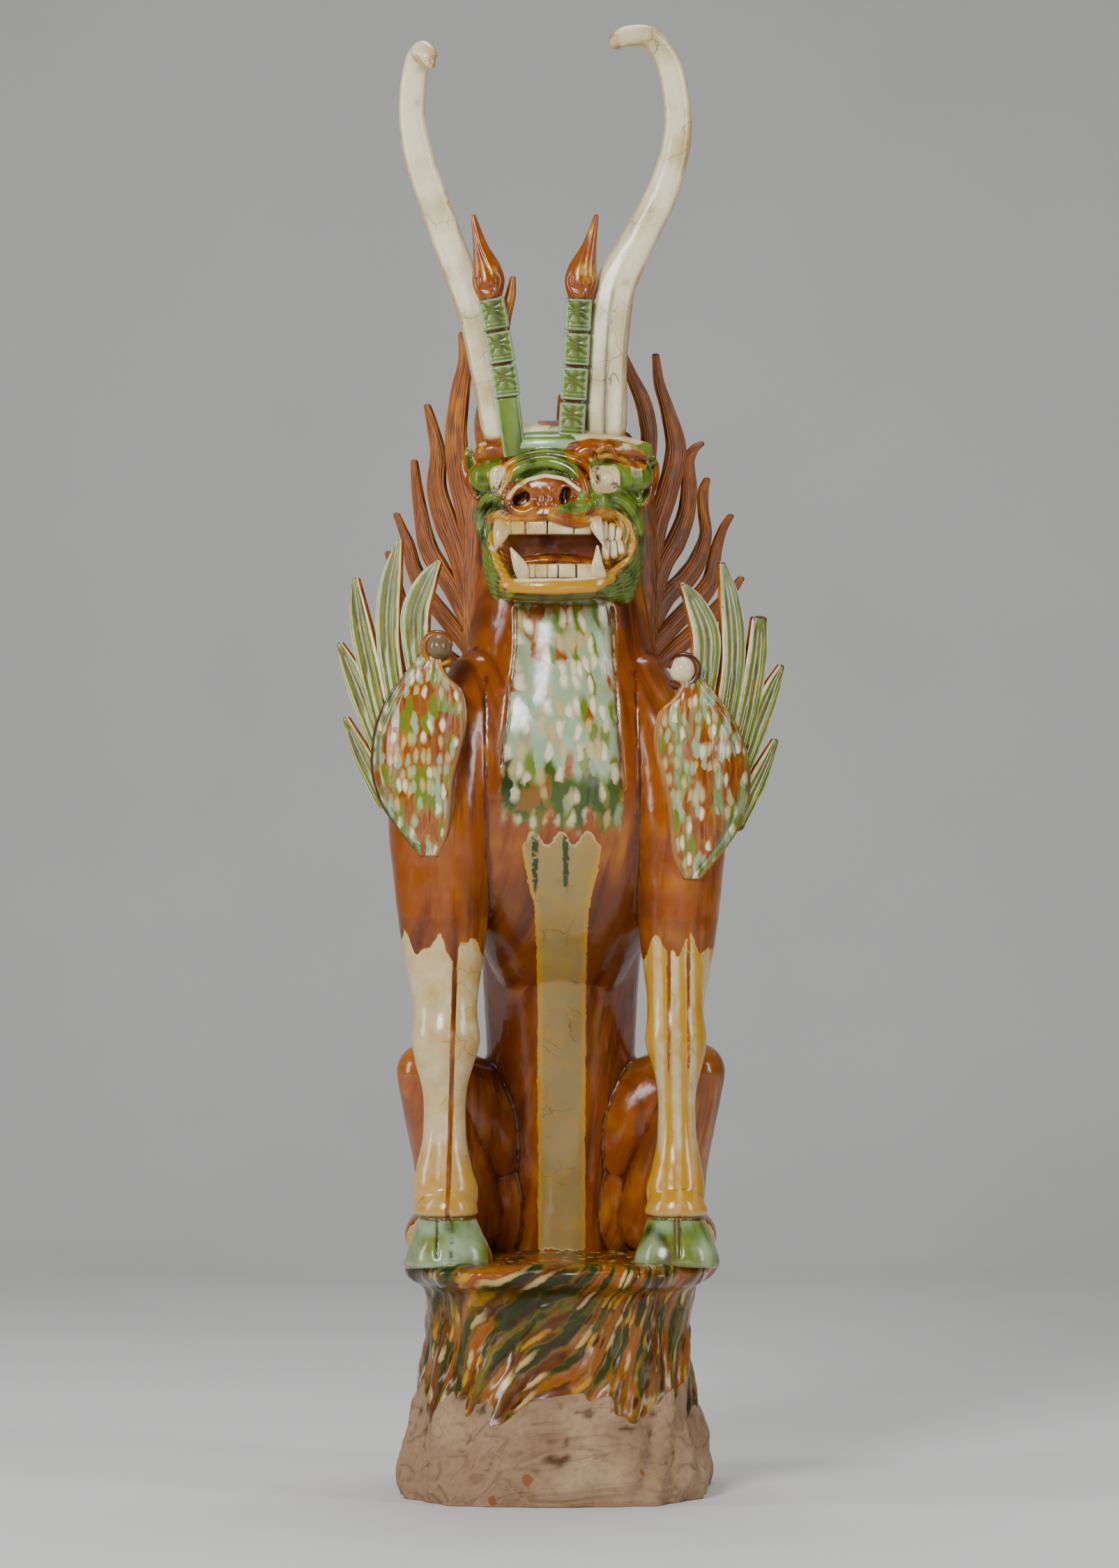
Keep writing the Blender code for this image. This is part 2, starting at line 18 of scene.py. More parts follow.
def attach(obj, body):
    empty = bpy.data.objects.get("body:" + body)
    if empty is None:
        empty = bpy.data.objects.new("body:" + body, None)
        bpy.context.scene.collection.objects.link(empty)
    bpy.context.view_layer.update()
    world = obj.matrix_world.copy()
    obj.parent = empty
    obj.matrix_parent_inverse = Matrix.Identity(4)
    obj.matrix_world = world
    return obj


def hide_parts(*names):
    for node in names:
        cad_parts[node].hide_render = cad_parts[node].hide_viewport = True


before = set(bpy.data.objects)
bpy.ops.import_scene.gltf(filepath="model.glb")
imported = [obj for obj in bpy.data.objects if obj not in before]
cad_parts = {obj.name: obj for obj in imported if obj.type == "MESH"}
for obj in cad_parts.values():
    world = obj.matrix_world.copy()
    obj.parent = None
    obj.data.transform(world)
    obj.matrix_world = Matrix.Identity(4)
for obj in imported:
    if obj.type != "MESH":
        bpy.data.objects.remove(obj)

log = logging.getLogger("tomb_guardian_beast")

Array = np.ndarray
Rows = Sequence[Sequence[float]]
Relief = Callable[[Array, Array, Array], Array]

NODE = "tomb_guardian_beast"
BODY = "root"
MM = 0.001
FRONT = (0.0, -1.0, 0.0)
UP = (0.0, 0.0, 1.0)
DOME_ANGLES = np.radians((20, 40, 58, 74, 85))
MOST_TRIANGLES = 170_000
# The least half width of a ring, in millimetres
THINNEST = 0.2
# How a ball is divided, and how far its first and last rings stay from the poles, in radians
BALL_RINGS = 18
BALL_SIDES = 32
POLE_GAP = 0.06


def spline(rows: Rows, steps: int) -> Array:
    """Make rows of numbers denser along a smooth curve through each of them.

    Args:
        rows: The given rows, at least two.
        steps: New rows for each given span.

    Returns:
        The dense rows.
    """
    given = np.array(rows, float)
    padded = np.vstack([2 * given[0] - given[1], given, 2 * given[-1] - given[-2]])
    t = (np.arange(steps) / steps)[:, None]
    spans = []
    for a, b, c, d in zip(padded, padded[1:], padded[2:], padded[3:]):
        cubic = (3 * b - a - 3 * c + d) * t**3
        spans.append(0.5 * (2 * b + (c - a) * t + (2 * a - 5 * b + 4 * c - d) * t**2 + cubic))
    return np.vstack([*spans, given[-1:]])


def soft_step(low: float, high: float, value: Array) -> Array:
    """Rise smoothly from 0 at low to 1 at high; low may be the larger.

    Args:
        low: Where the step starts.
        high: Where the step ends.
        value: The values to step.

    Returns:
        The stepped values.
    """
    share = np.clip((value - low) / (high - low), 0, 1)
    return share * share * (3 - 2 * share)


def bell(value: Array, centre: float, width: float) -> Array:
    """A smooth hump of height 1.

    Args:
        value: The values to test.
        centre: Where the hump is highest.
        width: Its half width at about a third of its height.

    Returns:
        The hump's height at each value.
    """
    return np.exp(-(((value - centre) / width) ** 2))


def ripple(points: Array, size: float, seed: int, octaves: int = 3) -> Array:
    """Smooth unevenness, about -1 to 1, from waves in seeded directions.

    Args:
        points: Points as rows of three.
        size: The longest wave's length, in the points' own unit.
        seed: Which unevenness.
        octaves: How many times the waves halve in length.

    Returns:
        One value for each point.
    """
    rng = np.random.default_rng(seed)
    total = np.zeros(points.shape[:-1])
    for octave in range(octaves):
        for _ in range(5):
            way = rng.normal(size=3)
            way *= 2 * math.pi * 2**octave / size / np.linalg.norm(way)
            total += np.sin(points @ way + rng.uniform(0, 2 * math.pi)) / 2**octave
    return total / 4


def along_path(points: Array, path: Array) -> tuple[Array, Array]:
    """Distance to a path and the share of it passed, for each point.

    Args:
        points: Points as rows of two or three.
        path: The path's points, as rows of as many numbers.

    Returns:
        The distances and the shares from 0 to 1.
    """
    nearest = np.full(len(points), np.inf)
    share = np.zeros(len(points))
    for k, (a, b) in enumerate(zip(path, path[1:])):
        span = b - a
        t = np.clip((points - a) @ span / (span @ span), 0, 1)
        distance = np.linalg.norm(points - a - t[:, None] * span, axis=1)
        closer = distance < nearest
        nearest[closer] = distance[closer]
        share[closer] = (k + t[closer]) / (len(path) - 1)
    return nearest, share


def placed(points: Array, place: Matrix | None) -> Array:
    """Points moved by a matrix.

    Args:
        points: Points in the last axis.
        place: The matrix, or None to leave them.

    Returns:
        The moved points.
    """
    if place is None:
        return points
    matrix = np.array(place)
    return points @ matrix[:3, :3].T + matrix[:3, 3]


class Mask(Enum):
    """What a surface carries, from 0 to 1, for the glaze to read."""

    CREAM = "cream"
    OCHRE = "ochre"
    GREEN = "green"
    PALE = "pale"
    SPLASH = "splash"
    BARE = "bare"
    # Darkens the ground colour: painted shade in the recess between the forelegs, on the belly stripe and on
    # sides turned away from the front, with darker glaze on the legs and the low chest
    POOL = "pool"
    # Darkens cuts, grooves, holes, gaps and hollows: pooled glaze together with painted shade
    CUT = "cut"
    WORN = "worn"


class Tint(Enum):
    """The colours that all pieces share, as sRGB."""

    CREAM = "#e9e1bc"
    STAIN = "#bfa972"
    OCHRE = "#b98612"
    LEAF = "#647a1c"
    MOSS = "#20330c"
    CELADON = "#93ac86"
    RUST = "#8c4a12"
    DEEP = "#3c1606"
    WORN = "#b08a48"
    TAN = "#7b6833"
    SPECK = "#4a3018"
    CLAY = "#94765a"
    CLAY_DARK = "#6a4e36"
    DUST = "#aa8e70"


Paint = dict[Mask, Array | float]
Painter = Callable[[Array, Array, Array], Paint]


def evenly(paint: Paint) -> Painter:
    """A painter that lays the same masks on every point of a form."""
    return lambda u, v, t: paint


@dataclass
class Shell:
    """Closed shells of rings, gathered to one mesh with what is painted on them."""

    points: list[Array] = field(default_factory=list)
    faces: list[tuple[int, ...]] = field(default_factory=list)
    flow: list[Array] = field(default_factory=list)
    paint: list[Paint] = field(default_factory=list)
    count: int = 0

    def add(self, rings: Array, flow: Array | None = None, paint: Paint | None = None) -> None:
        """Add one closed shell.

        Args:
            rings: Ring by ring, the points in metres.
            flow: Where each point lies across and along its form, in metres.
            paint: Mask values for each point.
        """
        levels, sides, _ = rings.shape
        start = self.count
        low = start + np.arange((levels - 1) * sides).reshape(levels - 1, sides)
        right = np.roll(low, -1, axis=1)
        quads = np.stack([low, right, right + sides, low + sides], axis=-1)
        self.faces += [tuple(quad) for quad in quads.reshape(-1, 4).tolist()]
        self.faces.append(tuple(range(start + sides - 1, start - 1, -1)))
        self.faces.append(tuple(range(start + (levels - 1) * sides, start + levels * sides)))
        self.points.append(rings.reshape(-1, 3))
        self.flow.append((rings if flow is None else flow).reshape(-1, 3))
        laid = (paint or {}).items()
        self.paint.append({mask: np.broadcast_to(values, (levels, sides)).ravel() for mask, values in laid})
        self.count += levels * sides

    def build(self, name: str) -> bpy.types.Object:
        """Make the mesh object.

        Args:
            name: The object's name.

        Returns:
            The object, smooth shaded, with its flow and masks.
        """
        mesh = bpy.data.meshes.new(name)
        mesh.from_pydata(np.vstack(self.points).tolist(), [], self.faces)
        mesh.validate()
        obj = bpy.data.objects.new(name, mesh)
        bpy.context.collection.objects.link(obj)
        masks = {}
        for mask in Mask:
            parts = [paint.get(mask, np.zeros(len(pts))) for paint, pts in zip(self.paint, self.points)]
            masks[mask] = np.concatenate(parts)
        dress(obj, np.vstack(self.flow), masks)
        return obj


def dress(obj: bpy.types.Object, flow: Array, paint: Paint) -> None:
    """Store flow and masks on a mesh, and shade it smooth.

    Args:
        obj: The mesh object.
        flow: Across and along for each point, in metres.
        paint: Mask values for each point.
    """
    mesh = obj.data
    mesh.shade_smooth()
    store = mesh.attributes.new("flow", "FLOAT_VECTOR", "POINT")
    store.data.foreach_set("vector", flow.astype(np.float32).ravel())
    for mask in Mask:
        values = np.clip(paint.get(mask, np.zeros(len(flow))), 0, 1)
        store = mesh.attributes.new(mask.value, "FLOAT", "POINT")
        store.data.foreach_set("value", values.astype(np.float32))


@dataclass
class Limb:
    """A form swept through stations of x, y, z, half width and half depth, in millimetres.

    Attributes:
        rows: The stations.
        front: The way that its depth is measured.
        corner: 2 for a round section, more for a squarer one.
        sides: Points round a ring.
        steps: Rings for each span.
        place: The frame that the stations are given in.
        domed: Whether the ends are rounded off.
        relief: Carving height in millimetres from across (-1 to 1), depth (-1 to 1) and share along.
    """

    rows: Rows
    front: Sequence[float] = FRONT
    corner: float = 2.0
    sides: int = 28
    steps: int = 6
    place: Matrix | None = None
    domed: bool = True
    relief: Relief | None = None

    def stations(self) -> Array:
        """Make the stations dense, with domes at their ends if they are rounded.

        Returns:
            The dense stations.
        """
        dense = spline(self.rows, self.steps)
        if not self.domed:
            return dense
        domed = dense
        for end, inner in ((0, 1), (-1, -2)):
            row = dense[end]
            out = (row[:3] - dense[inner][:3]) / np.linalg.norm(row[:3] - dense[inner][:3])
            sine, cosine = np.sin(DOME_ANGLES)[:, None], np.cos(DOME_ANGLES)[:, None]
            rings = np.hstack([row[:3] + out * row[3:].min() * sine, row[3:] * cosine])
            domed = np.vstack([rings[::-1], domed] if end == 0 else [domed, rings])
        return domed

    def sweep(self) -> tuple[Array, Array, Array, Array]:
        """Sweep the section along the stations.

        Returns:
            Rings in metres, with across, depth and the share along for each point.
        """
        rows = self.stations()
        centre = rows[:, :3]
        along = np.vstack([centre[1:] - centre[:-1], centre[-1:] - centre[-2:-1]])
        along[1:-1] = centre[2:] - centre[:-2]
        along /= np.linalg.norm(along, axis=1)[:, None]
        front = np.array(self.front, float)
        forward = front - along * (along @ front)[:, None]
        forward /= np.linalg.norm(forward, axis=1)[:, None]
        across = np.cross(along, forward)
        angle = 2 * math.pi * np.arange(self.sides) / self.sides
        cosine, sine = np.cos(angle), np.sin(angle)
        u = np.sign(cosine) * np.abs(cosine) ** (2 / self.corner)
        v = np.sign(sine) * np.abs(sine) ** (2 / self.corner)
        half = np.maximum(rows[:, 3:5], THINNEST)
        offset = across[:, None] * (half[:, 0, None] * u)[..., None]
        offset += forward[:, None] * (half[:, 1, None] * v)[..., None]
        rings = centre[:, None] + offset
        length = np.concatenate([[0], np.cumsum(np.linalg.norm(np.diff(centre, axis=0), axis=1))])
        share = np.broadcast_to((length / length[-1])[:, None], rings.shape[:2])
        u, v = np.broadcast_to(u, share.shape), np.broadcast_to(v, share.shape)
        if self.relief is not None:
            power = self.corner - 1
            out = across[:, None] * (np.sign(u) * np.abs(u) ** power / half[:, 0, None])[..., None]
            out += forward[:, None] * (np.sign(v) * np.abs(v) ** power / half[:, 1, None])[..., None]
            out /= np.linalg.norm(out, axis=2)[..., None]
            rings = rings + out * self.relief(u, v, share)[..., None]
        return placed(MM * rings, self.place), u, v, share

    def into(self, shell: Shell, paint: Painter | None = None, tag: float = 0) -> None:
        """Add the form to a shell.

        Args:
            shell: The shell to add to.
            paint: Masks from across, depth and the share along.
            tag: A number that tells this form's pattern from its neighbours'.
        """
        rings, u, v, share = self.sweep()
        rows = self.stations()
        length = np.linalg.norm(np.diff(rows[:, :3], axis=0), axis=1).sum()
        flow = np.stack([u * rows[:, 3, None] * MM, share * length * MM, np.full(u.shape, tag)], axis=-1)
        shell.add(rings, flow, paint(u, v, share) if paint else None)


def ball(
    shell: Shell,
    centre: Sequence[float],
    halves: Sequence[float],
    place: Matrix | None = None,
    paint: dict[Mask, float] | None = None,
) -> None:
    """Add an ellipsoid, with its centre and half sizes in millimetres.

    Args:
        shell: The shell to add to.
        centre: Its centre.
        halves: Its half sizes along x, y and z.
        place: The frame that it is given in.
        paint: Its mask values.
    """
    lat = np.linspace(-math.pi / 2 + POLE_GAP, math.pi / 2 - POLE_GAP, BALL_RINGS)[:, None]
    lon = np.linspace(0, 2 * math.pi, BALL_SIDES, endpoint=False)[None]
    unit = np.stack([np.cos(lat) * np.cos(lon), np.cos(lat) * np.sin(lon), np.sin(lat) + 0 * lon], axis=-1)
    rings = placed(MM * (unit * np.array(halves) + np.array(centre)), place)
    shell.add(rings, None, paint)


def fused(shell: Shell, name: str, voxel: float, smooth: int) -> bpy.types.Object:
    """Fuse a shell's overlapping forms to one skin.

    Args:
        shell: The forms.
        name: The object's name.
        voxel: The fineness of the skin, in metres.
        smooth: How many times the joins are softened.

    Returns:
        The object with its dense mesh.
    """
    forms = shell.build(name + "_forms")
    skin = forms.modifiers.new("fused skin", "REMESH")
    skin.mode = "VOXEL"
    skin.voxel_size = voxel
    soften = forms.modifiers.new("softened joins", "SMOOTH")
    soften.factor = 0.5
    soften.iterations = smooth
    graph = bpy.context.evaluated_depsgraph_get()
    mesh = bpy.data.meshes.new_from_object(forms.evaluated_get(graph))
    mesh.name = name
    bpy.data.objects.remove(forms)
    obj = bpy.data.objects.new(name, mesh)
    bpy.context.collection.objects.link(obj)
    return obj


def points_of(obj: bpy.types.Object) -> tuple[Array, Array]:
    """The points of a mesh object and their normals.

    Args:
        obj: The mesh object.

    Returns:
        The points in metres, and the normals.
    """
    count = len(obj.data.vertices)
    points, normals = np.empty(3 * count), np.empty(3 * count)
    obj.data.vertices.foreach_get("co", points)
    obj.data.vertices.foreach_get("normal", normals)
    return points.reshape(-1, 3), normals.reshape(-1, 3)


def carve(obj: bpy.types.Object, relief: Callable[[Array, Array], Array]) -> None:
    """Move a mesh's points along their normals, then thin it out to the most triangles.

    Args:
        obj: The mesh object.
        relief: The height in millimetres from points and normals.
    """
    points, normals = points_of(obj)
    points = points + normals * (MM * relief(points, normals))[:, None]
    obj.data.vertices.foreach_set("co", points.ravel())
    obj.data.update()
    triangles = sum(len(face.vertices) - 2 for face in obj.data.polygons)
    if triangles > MOST_TRIANGLES:
        thin = obj.modifiers.new("fewer faces", "DECIMATE")
        thin.ratio = MOST_TRIANGLES / triangles
        graph = bpy.context.evaluated_depsgraph_get()
        mesh = bpy.data.meshes.new_from_object(obj.evaluated_get(graph))
        obj.modifiers.clear()
        obj.data = mesh


def hollows(obj: bpy.types.Object, rounds: int) -> Array:
    """How deep each point lies in a groove, in millimetres; points on ridges are below zero.

    Args:
        obj: The mesh object.
        rounds: How many times its points are evened out to find the surface without grooves.

    Returns:
        One depth for each point.
    """
    points, normals = points_of(obj)
    ends = np.empty(2 * len(obj.data.edges), np.int32)
    obj.data.edges.foreach_get("vertices", ends)
    first, second = ends.reshape(-1, 2).T
    count = np.bincount(ends, minlength=len(points))
    even = points.copy()
    for _ in range(rounds):
        sums = [
            np.bincount(first, axis[second], len(points)) + np.bincount(second, axis[first], len(points))
            for axis in even.T
        ]
        even = 0.5 * even + 0.5 * np.stack(sums, axis=1) / count[:, None]
    return ((even - points) * normals).sum(axis=1) / MM


def pool_glaze_and_paint_groove_shade(obj: bpy.types.Object, rounds: int, groove: float) -> None:
    """Let the glaze gather dark in grooves, painting the shade that falls in them too, and wear thin on
    ridges.

    Args:
        obj: The finished piece.
        rounds: How broadly grooves are sought.
        groove: The depth of a full groove, in millimetres.
    """
    depth = hollows(obj, rounds)
    # Grooves darken: pooled glaze and painted shade; ridges turn tan where the glaze wears thin
    for mask, low, high, most in ((Mask.CUT, 0.25, 1.1, 0.85), (Mask.WORN, -0.4, -1.5, 0.3)):
        store = obj.data.attributes[mask.value]
        values = np.empty(len(depth), np.float32)
        store.data.foreach_get("value", values)
        values = np.maximum(values, most * soft_step(low * groove, high * groove, depth))
        store.data.foreach_set("value", values.astype(np.float32))


def settle(
    obj: bpy.types.Object,
    material: bpy.types.Material,
    rounds: int = 8,
    groove: float = 0.35,
) -> None:
    """Give a finished piece its material, and fix it to the frame.

    Args:
        obj: The piece.
        material: Its material.
        rounds: How broadly grooves are sought, where the glaze gathers dark and shade is painted.
        groove: The depth of a full groove, in millimetres.
    """
    pool_glaze_and_paint_groove_shade(obj, rounds, groove)
    obj.data.materials.clear()
    obj.data.materials.append(material)
    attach(obj, BODY)
    log.info("%s: %d faces", obj.name, len(obj.data.polygons))


def linear(code: str) -> tuple[float, float, float, float]:
    """A colour for a shader from its sRGB hex code.

    Args:
        code: Six hex digits after a hash sign.

    Returns:
        Linear red, green, blue and a full alpha.
    """
    values = [int(code[k : k + 2], 16) / 255 for k in (1, 3, 5)]
    return (*[v / 12.92 if v <= 0.04045 else ((v + 0.055) / 1.055) ** 2.4 for v in values], 1.0)


def node(
    tree: bpy.types.NodeTree,
    kind: str,
    sockets: dict | None = None,
    output: int | str = 0,
    **settings: object,
) -> bpy.types.NodeSocket | None:
    """Add a node with its settings, values and links.

    Args:
        tree: The tree to add to.
        kind: The node's type.
        sockets: For each input, a value or the output that feeds it.
        output: Which of its outputs is wanted.
        settings: The node's own settings.

    Returns:
        The wanted output, or None from a node that has no outputs.
    """
    made = tree.nodes.new(kind)
    for name, value in settings.items():
        setattr(made, name, value)
    for key, value in (sockets or {}).items():
        if isinstance(value, bpy.types.NodeSocket):
            tree.links.new(value, made.inputs[key])
        else:
            made.inputs[key].default_value = value
    return made.outputs[output] if made.outputs else None


@dataclass(frozen=True)
class Splashes:
    """Runs and drops of slip and glaze let fall over the ground colour.

    Attributes:
        run: Width and length of the larger runs, in millimetres.
        run_tints: The three colours that the runs take.
        run_cover: The share of places that carry a run.
        drop: Width and length of the drops on top, in millimetres.
        drop_tints: The three colours that the drops take.
        drop_cover: The share of places that carry a drop.
    """

    run: tuple[float, float]
    run_tints: tuple[str, str, str]
    run_cover: float
    drop: tuple[float, float]
    drop_tints: tuple[str, str, str]
    drop_cover: float


@dataclass(frozen=True)
class LeadGlaze:
    """Runny lead glaze over buff earthenware, fired once at about 900 degrees.

    Iron gives the amber, copper the green, and the clear glaze over white slip the cream. It pools dark in
    cuts and thins to yellow where it runs out, so the eye sees soft coloured edges under one gloss. The
    darkening in cuts and on the shaded parts of the body is painted shade as well as pooled glaze.

    Attributes:
        name: The material's name.
        deep: Amber where it is thick.
        amber: Amber over most of the piece.
        thin: Amber where it is thin.
        gloss: Roughness of the fired glaze.
        shine: How strongly it mirrors, 0.5 for an unworn glaze.
        streak: Width and length of the brushed streaks, in millimetres.
        grain: How strongly the surface's own unevenness shows.
        splashes: What is let fall over the ground colour, if anything.
        clay: Whether the foot is left bare.
    """

    name: str
    deep: str = "#4c1a04"
    amber: str = "#8e4606"
    thin: str = "#b8730e"
    gloss: float = 0.15
    shine: float = 0.5
    streak: tuple[float, float] = (12.0, 110.0)
    grain: float = 0.35
    splashes: Splashes | None = None
    clay: bool = False

    IOR = 1.55
    BUMP_DISTANCE = 0.0014
    BUMP_STRENGTH = 0.75
    # Sizes of clouds, soft unevenness, specks, cracks, clay grit and iron spots, in millimetres; the specks
    # and cracks are coarsened so that they show at the size of the whole figure
    CLOUD = 45
    SOFT = 14
    SPECKS = 1.3
    CRACKS = 27
    GRIT = 5
    IRON_SPOTS = 16
    # How far cracks are bent, in metres, and how far drops are bent, in their own widths and lengths
    CRACK_BEND = 0.012
    DROP_BEND = (1.1, 0.7, 0.0)
    BRUSH = (1.8, 26.0)
    DRAG = (26.0, 15.0)

    def make(self) -> bpy.types.Material:
        """Build the material's nodes.

        Returns:
            The material.
        """
        material = bpy.data.materials.new(self.name)
        material.use_nodes = True
        tree = material.node_tree
        tree.nodes.clear()

        def mask(which: Mask) -> bpy.types.NodeSocket:
            """What the surface carries of one mask."""
            return node(tree, "ShaderNodeAttribute", output="Fac", attribute_name=which.value)

        def blend(a: object, b: object, share: object) -> bpy.types.NodeSocket:
            """Two colours mixed, each a hex code or an output."""
            a, b = (linear(c) if isinstance(c, str) else c for c in (a, b))
            return node(tree, "ShaderNodeMix", {0: share, 6: a, 7: b}, 2, data_type="RGBA")

        def step(value: object, low: float, high: float, most: float = 1.0) -> bpy.types.NodeSocket:
            """A smooth rise from 0 at low to most at high."""
            sockets = {"Value": value, "From Min": low, "From Max": high, "To Max": most}
            return node(tree, "ShaderNodeMapRange", sockets, interpolation_type="SMOOTHSTEP")

        def math_of(operation: str, *values: object) -> bpy.types.NodeSocket:
            """Values or outputs combined by one operation."""
            return node(tree, "ShaderNodeMath", dict(enumerate(values)), operation=operation)

        def scaled(vector: bpy.types.NodeSocket, size: tuple[float, float]) -> bpy.types.NodeSocket:
            """A place counted in steps of a width and a length in millimetres."""
            scale = (1 / (MM * size[0]), 1 / (MM * size[1]), 1.0)
            return node(tree, "ShaderNodeVectorMath", {0: vector, 1: scale}, operation="MULTIPLY")

        def noise(vector: bpy.types.NodeSocket, size: float, detail: float = 1.0) -> bpy.types.NodeSocket:
            """Soft noise of a size in millimetres."""
            sockets = {"Vector": vector, "Scale": 1 / (MM * size), "Detail": detail}
            return node(tree, "ShaderNodeTexNoise", sockets)

        flow = node(tree, "ShaderNodeAttribute", output="Vector", attribute_name="flow")
        spot = node(tree, "ShaderNodeTexCoord", output="Object")
        cloud = noise(spot, self.CLOUD, 2)
        soft = noise(spot, self.SOFT, 2)
        wobble = math_of("MULTIPLY", math_of("SUBTRACT", soft, 0.5), 0.55)

        streak_sockets = {"Vector": scaled(flow, self.streak), "Scale": 1.0, "Detail": 3.0}
        streaks = node(tree, "ShaderNodeTexNoise", streak_sockets, noise_dimensions="2D")
        amber = blend(self.deep, self.amber, step(streaks, 0.12, 0.58))
        thinned = math_of("MULTIPLY", step(cloud, 0.42, 0.75), step(streaks, 0.35, 0.65))
        amber = blend(amber, self.thin, thinned)
        brush = {"Vector": scaled(flow, self.BRUSH), "Scale": 1.0, "Detail": 2.0}
        brush = node(tree, "ShaderNodeTexNoise", brush, noise_dimensions="2D")
        amber = blend(amber, self.deep, step(brush, 0.5, 0.72, 0.15))
        # Painted shade and darker glaze: amber deepens under the pool and shade mask
        amber = blend(amber, Tint.DEEP.value, step(mask(Mask.POOL), 0.0, 1.0, 0.9))

        cream = blend(Tint.CREAM.value, Tint.STAIN.value, step(cloud, 0.42, 0.75))
        cream = blend(cream, Tint.SPECK.value, step(noise(spot, self.SPECKS, 0), 0.72, 0.80, 0.3))
        # Painted shade and darker glaze: cream turns tan under the pool and shade mask
        cream = blend(cream, Tint.TAN.value, step(mask(Mask.POOL), 0.0, 1.0, 0.9))
        bent = {0: soft.node.outputs["Color"], 1: (self.CRACK_BEND,) * 3, 2: spot}
        bent = node(tree, "ShaderNodeVectorMath", bent, operation="MULTIPLY_ADD")
        cells = {"Vector": bent, "Scale": 1 / (MM * self.CRACKS)}
        crack = node(tree, "ShaderNodeTexVoronoi", cells, "Distance", feature="DISTANCE_TO_EDGE")
        crack = math_of("MULTIPLY", step(crack, 0.016, 0.006, 0.6), step(cloud, 0.48, 0.58))
        cream = blend(cream, Tint.SPECK.value, crack)
        cream = blend(cream, Tint.OCHRE.value, step(math_of("ADD", mask(Mask.OCHRE), wobble), 0.15, 0.95))

        green = blend(Tint.MOSS.value, Tint.LEAF.value, step(streaks, 0.24, 0.56))
        # Painted shade and darker glaze: green turns moss under the pool and shade mask
        green = blend(green, Tint.MOSS.value, step(mask(Mask.POOL), 0.2, 1.0, 0.9))
        green = blend(green, Tint.CELADON.value, step(math_of("ADD", mask(Mask.PALE), wobble), 0.1, 0.9))

        share = math_of("ADD", mask(Mask.CREAM), wobble)
        colour = blend(amber, Tint.OCHRE.value, step(share, 0.34, 0.50))
        colour = blend(colour, cream, step(share, 0.46, 0.64))
        colour = blend(colour, green, step(math_of("ADD", mask(Mask.GREEN), wobble), 0.34, 0.66))

        if self.splashes is not None:
            falls = self.splashes
            splash = mask(Mask.SPLASH)
            bend = {0: soft.node.outputs["Color"], 1: self.DROP_BEND}
            bend = node(tree, "ShaderNodeVectorMath", bend, operation="MULTIPLY")
            layers = (
                (falls.run, falls.run_tints, 0.58, falls.run_cover),
                (falls.drop, falls.drop_tints, 0.46, falls.drop_cover),
            )
            for size, tints, reach, cover in layers:
                grid = node(tree, "ShaderNodeVectorMath", {0: scaled(flow, size), 1: bend}, operation="ADD")
                cells = {"Vector": grid, "Scale": 1.0, "Randomness": 0.85}
                distance = node(tree, "ShaderNodeTexVoronoi", cells, "Distance", voronoi_dimensions="2D")
                pick = node(tree, "ShaderNodeSeparateColor", {0: distance.node.outputs["Color"]})
                tint = blend(tints[0], tints[1], step(pick, 0.32, 0.36))
                tint = blend(tint, tints[2], step(pick, 0.64, 0.68))
                there = math_of("MULTIPLY", splash, step(pick.node.outputs[1], cover + 0.02, cover - 0.02))
                halo = math_of("MULTIPLY", there, step(distance, reach + 0.10, reach - 0.10, 0.7))
                core = math_of("MULTIPLY", there, step(distance, reach - 0.05, reach - 0.28))
                colour = blend(colour, Tint.OCHRE.value, math_of("MULTIPLY", halo, 0.6))
                colour = blend(colour, tint, core)
                colour = blend(colour, tint, math_of("MULTIPLY", halo, 0.6))

        rough = math_of("MULTIPLY_ADD", cloud, 0.12, self.gloss)
        height = math_of("MULTIPLY", soft, self.grain)
        if self.clay:
            grit = noise(spot, self.GRIT, 4)
            drag = {"Vector": scaled(flow, self.DRAG), "Scale": 1.0, "Detail": 4.0, "Distortion": 1.2}
            drag = node(tree, "ShaderNodeTexNoise", drag, noise_dimensions="2D")
            bare = step(math_of("ADD", mask(Mask.BARE), math_of("MULTIPLY", wobble, 0.6)), 0.46, 0.52)
            clay = blend(Tint.CLAY.value, Tint.DUST.value, step(cloud, 0.4, 0.75))
            clay = blend(clay, Tint.CLAY_DARK.value, step(grit, 0.4, 0.8, 0.35))
            clay = blend(clay, Tint.CLAY_DARK.value, step(drag, 0.46, 0.3, 0.5))
            clay = blend(clay, Tint.RUST.value, step(noise(spot, self.IRON_SPOTS, 1), 0.70, 0.74, 0.8))
            colour = blend(colour, clay, bare)
            rough = math_of("MULTIPLY_ADD", bare, 0.70, rough)
            scraped = math_of("MULTIPLY_ADD", drag, 2.6, grit)
            height = math_of("ADD", height, math_of("MULTIPLY", bare, scraped))
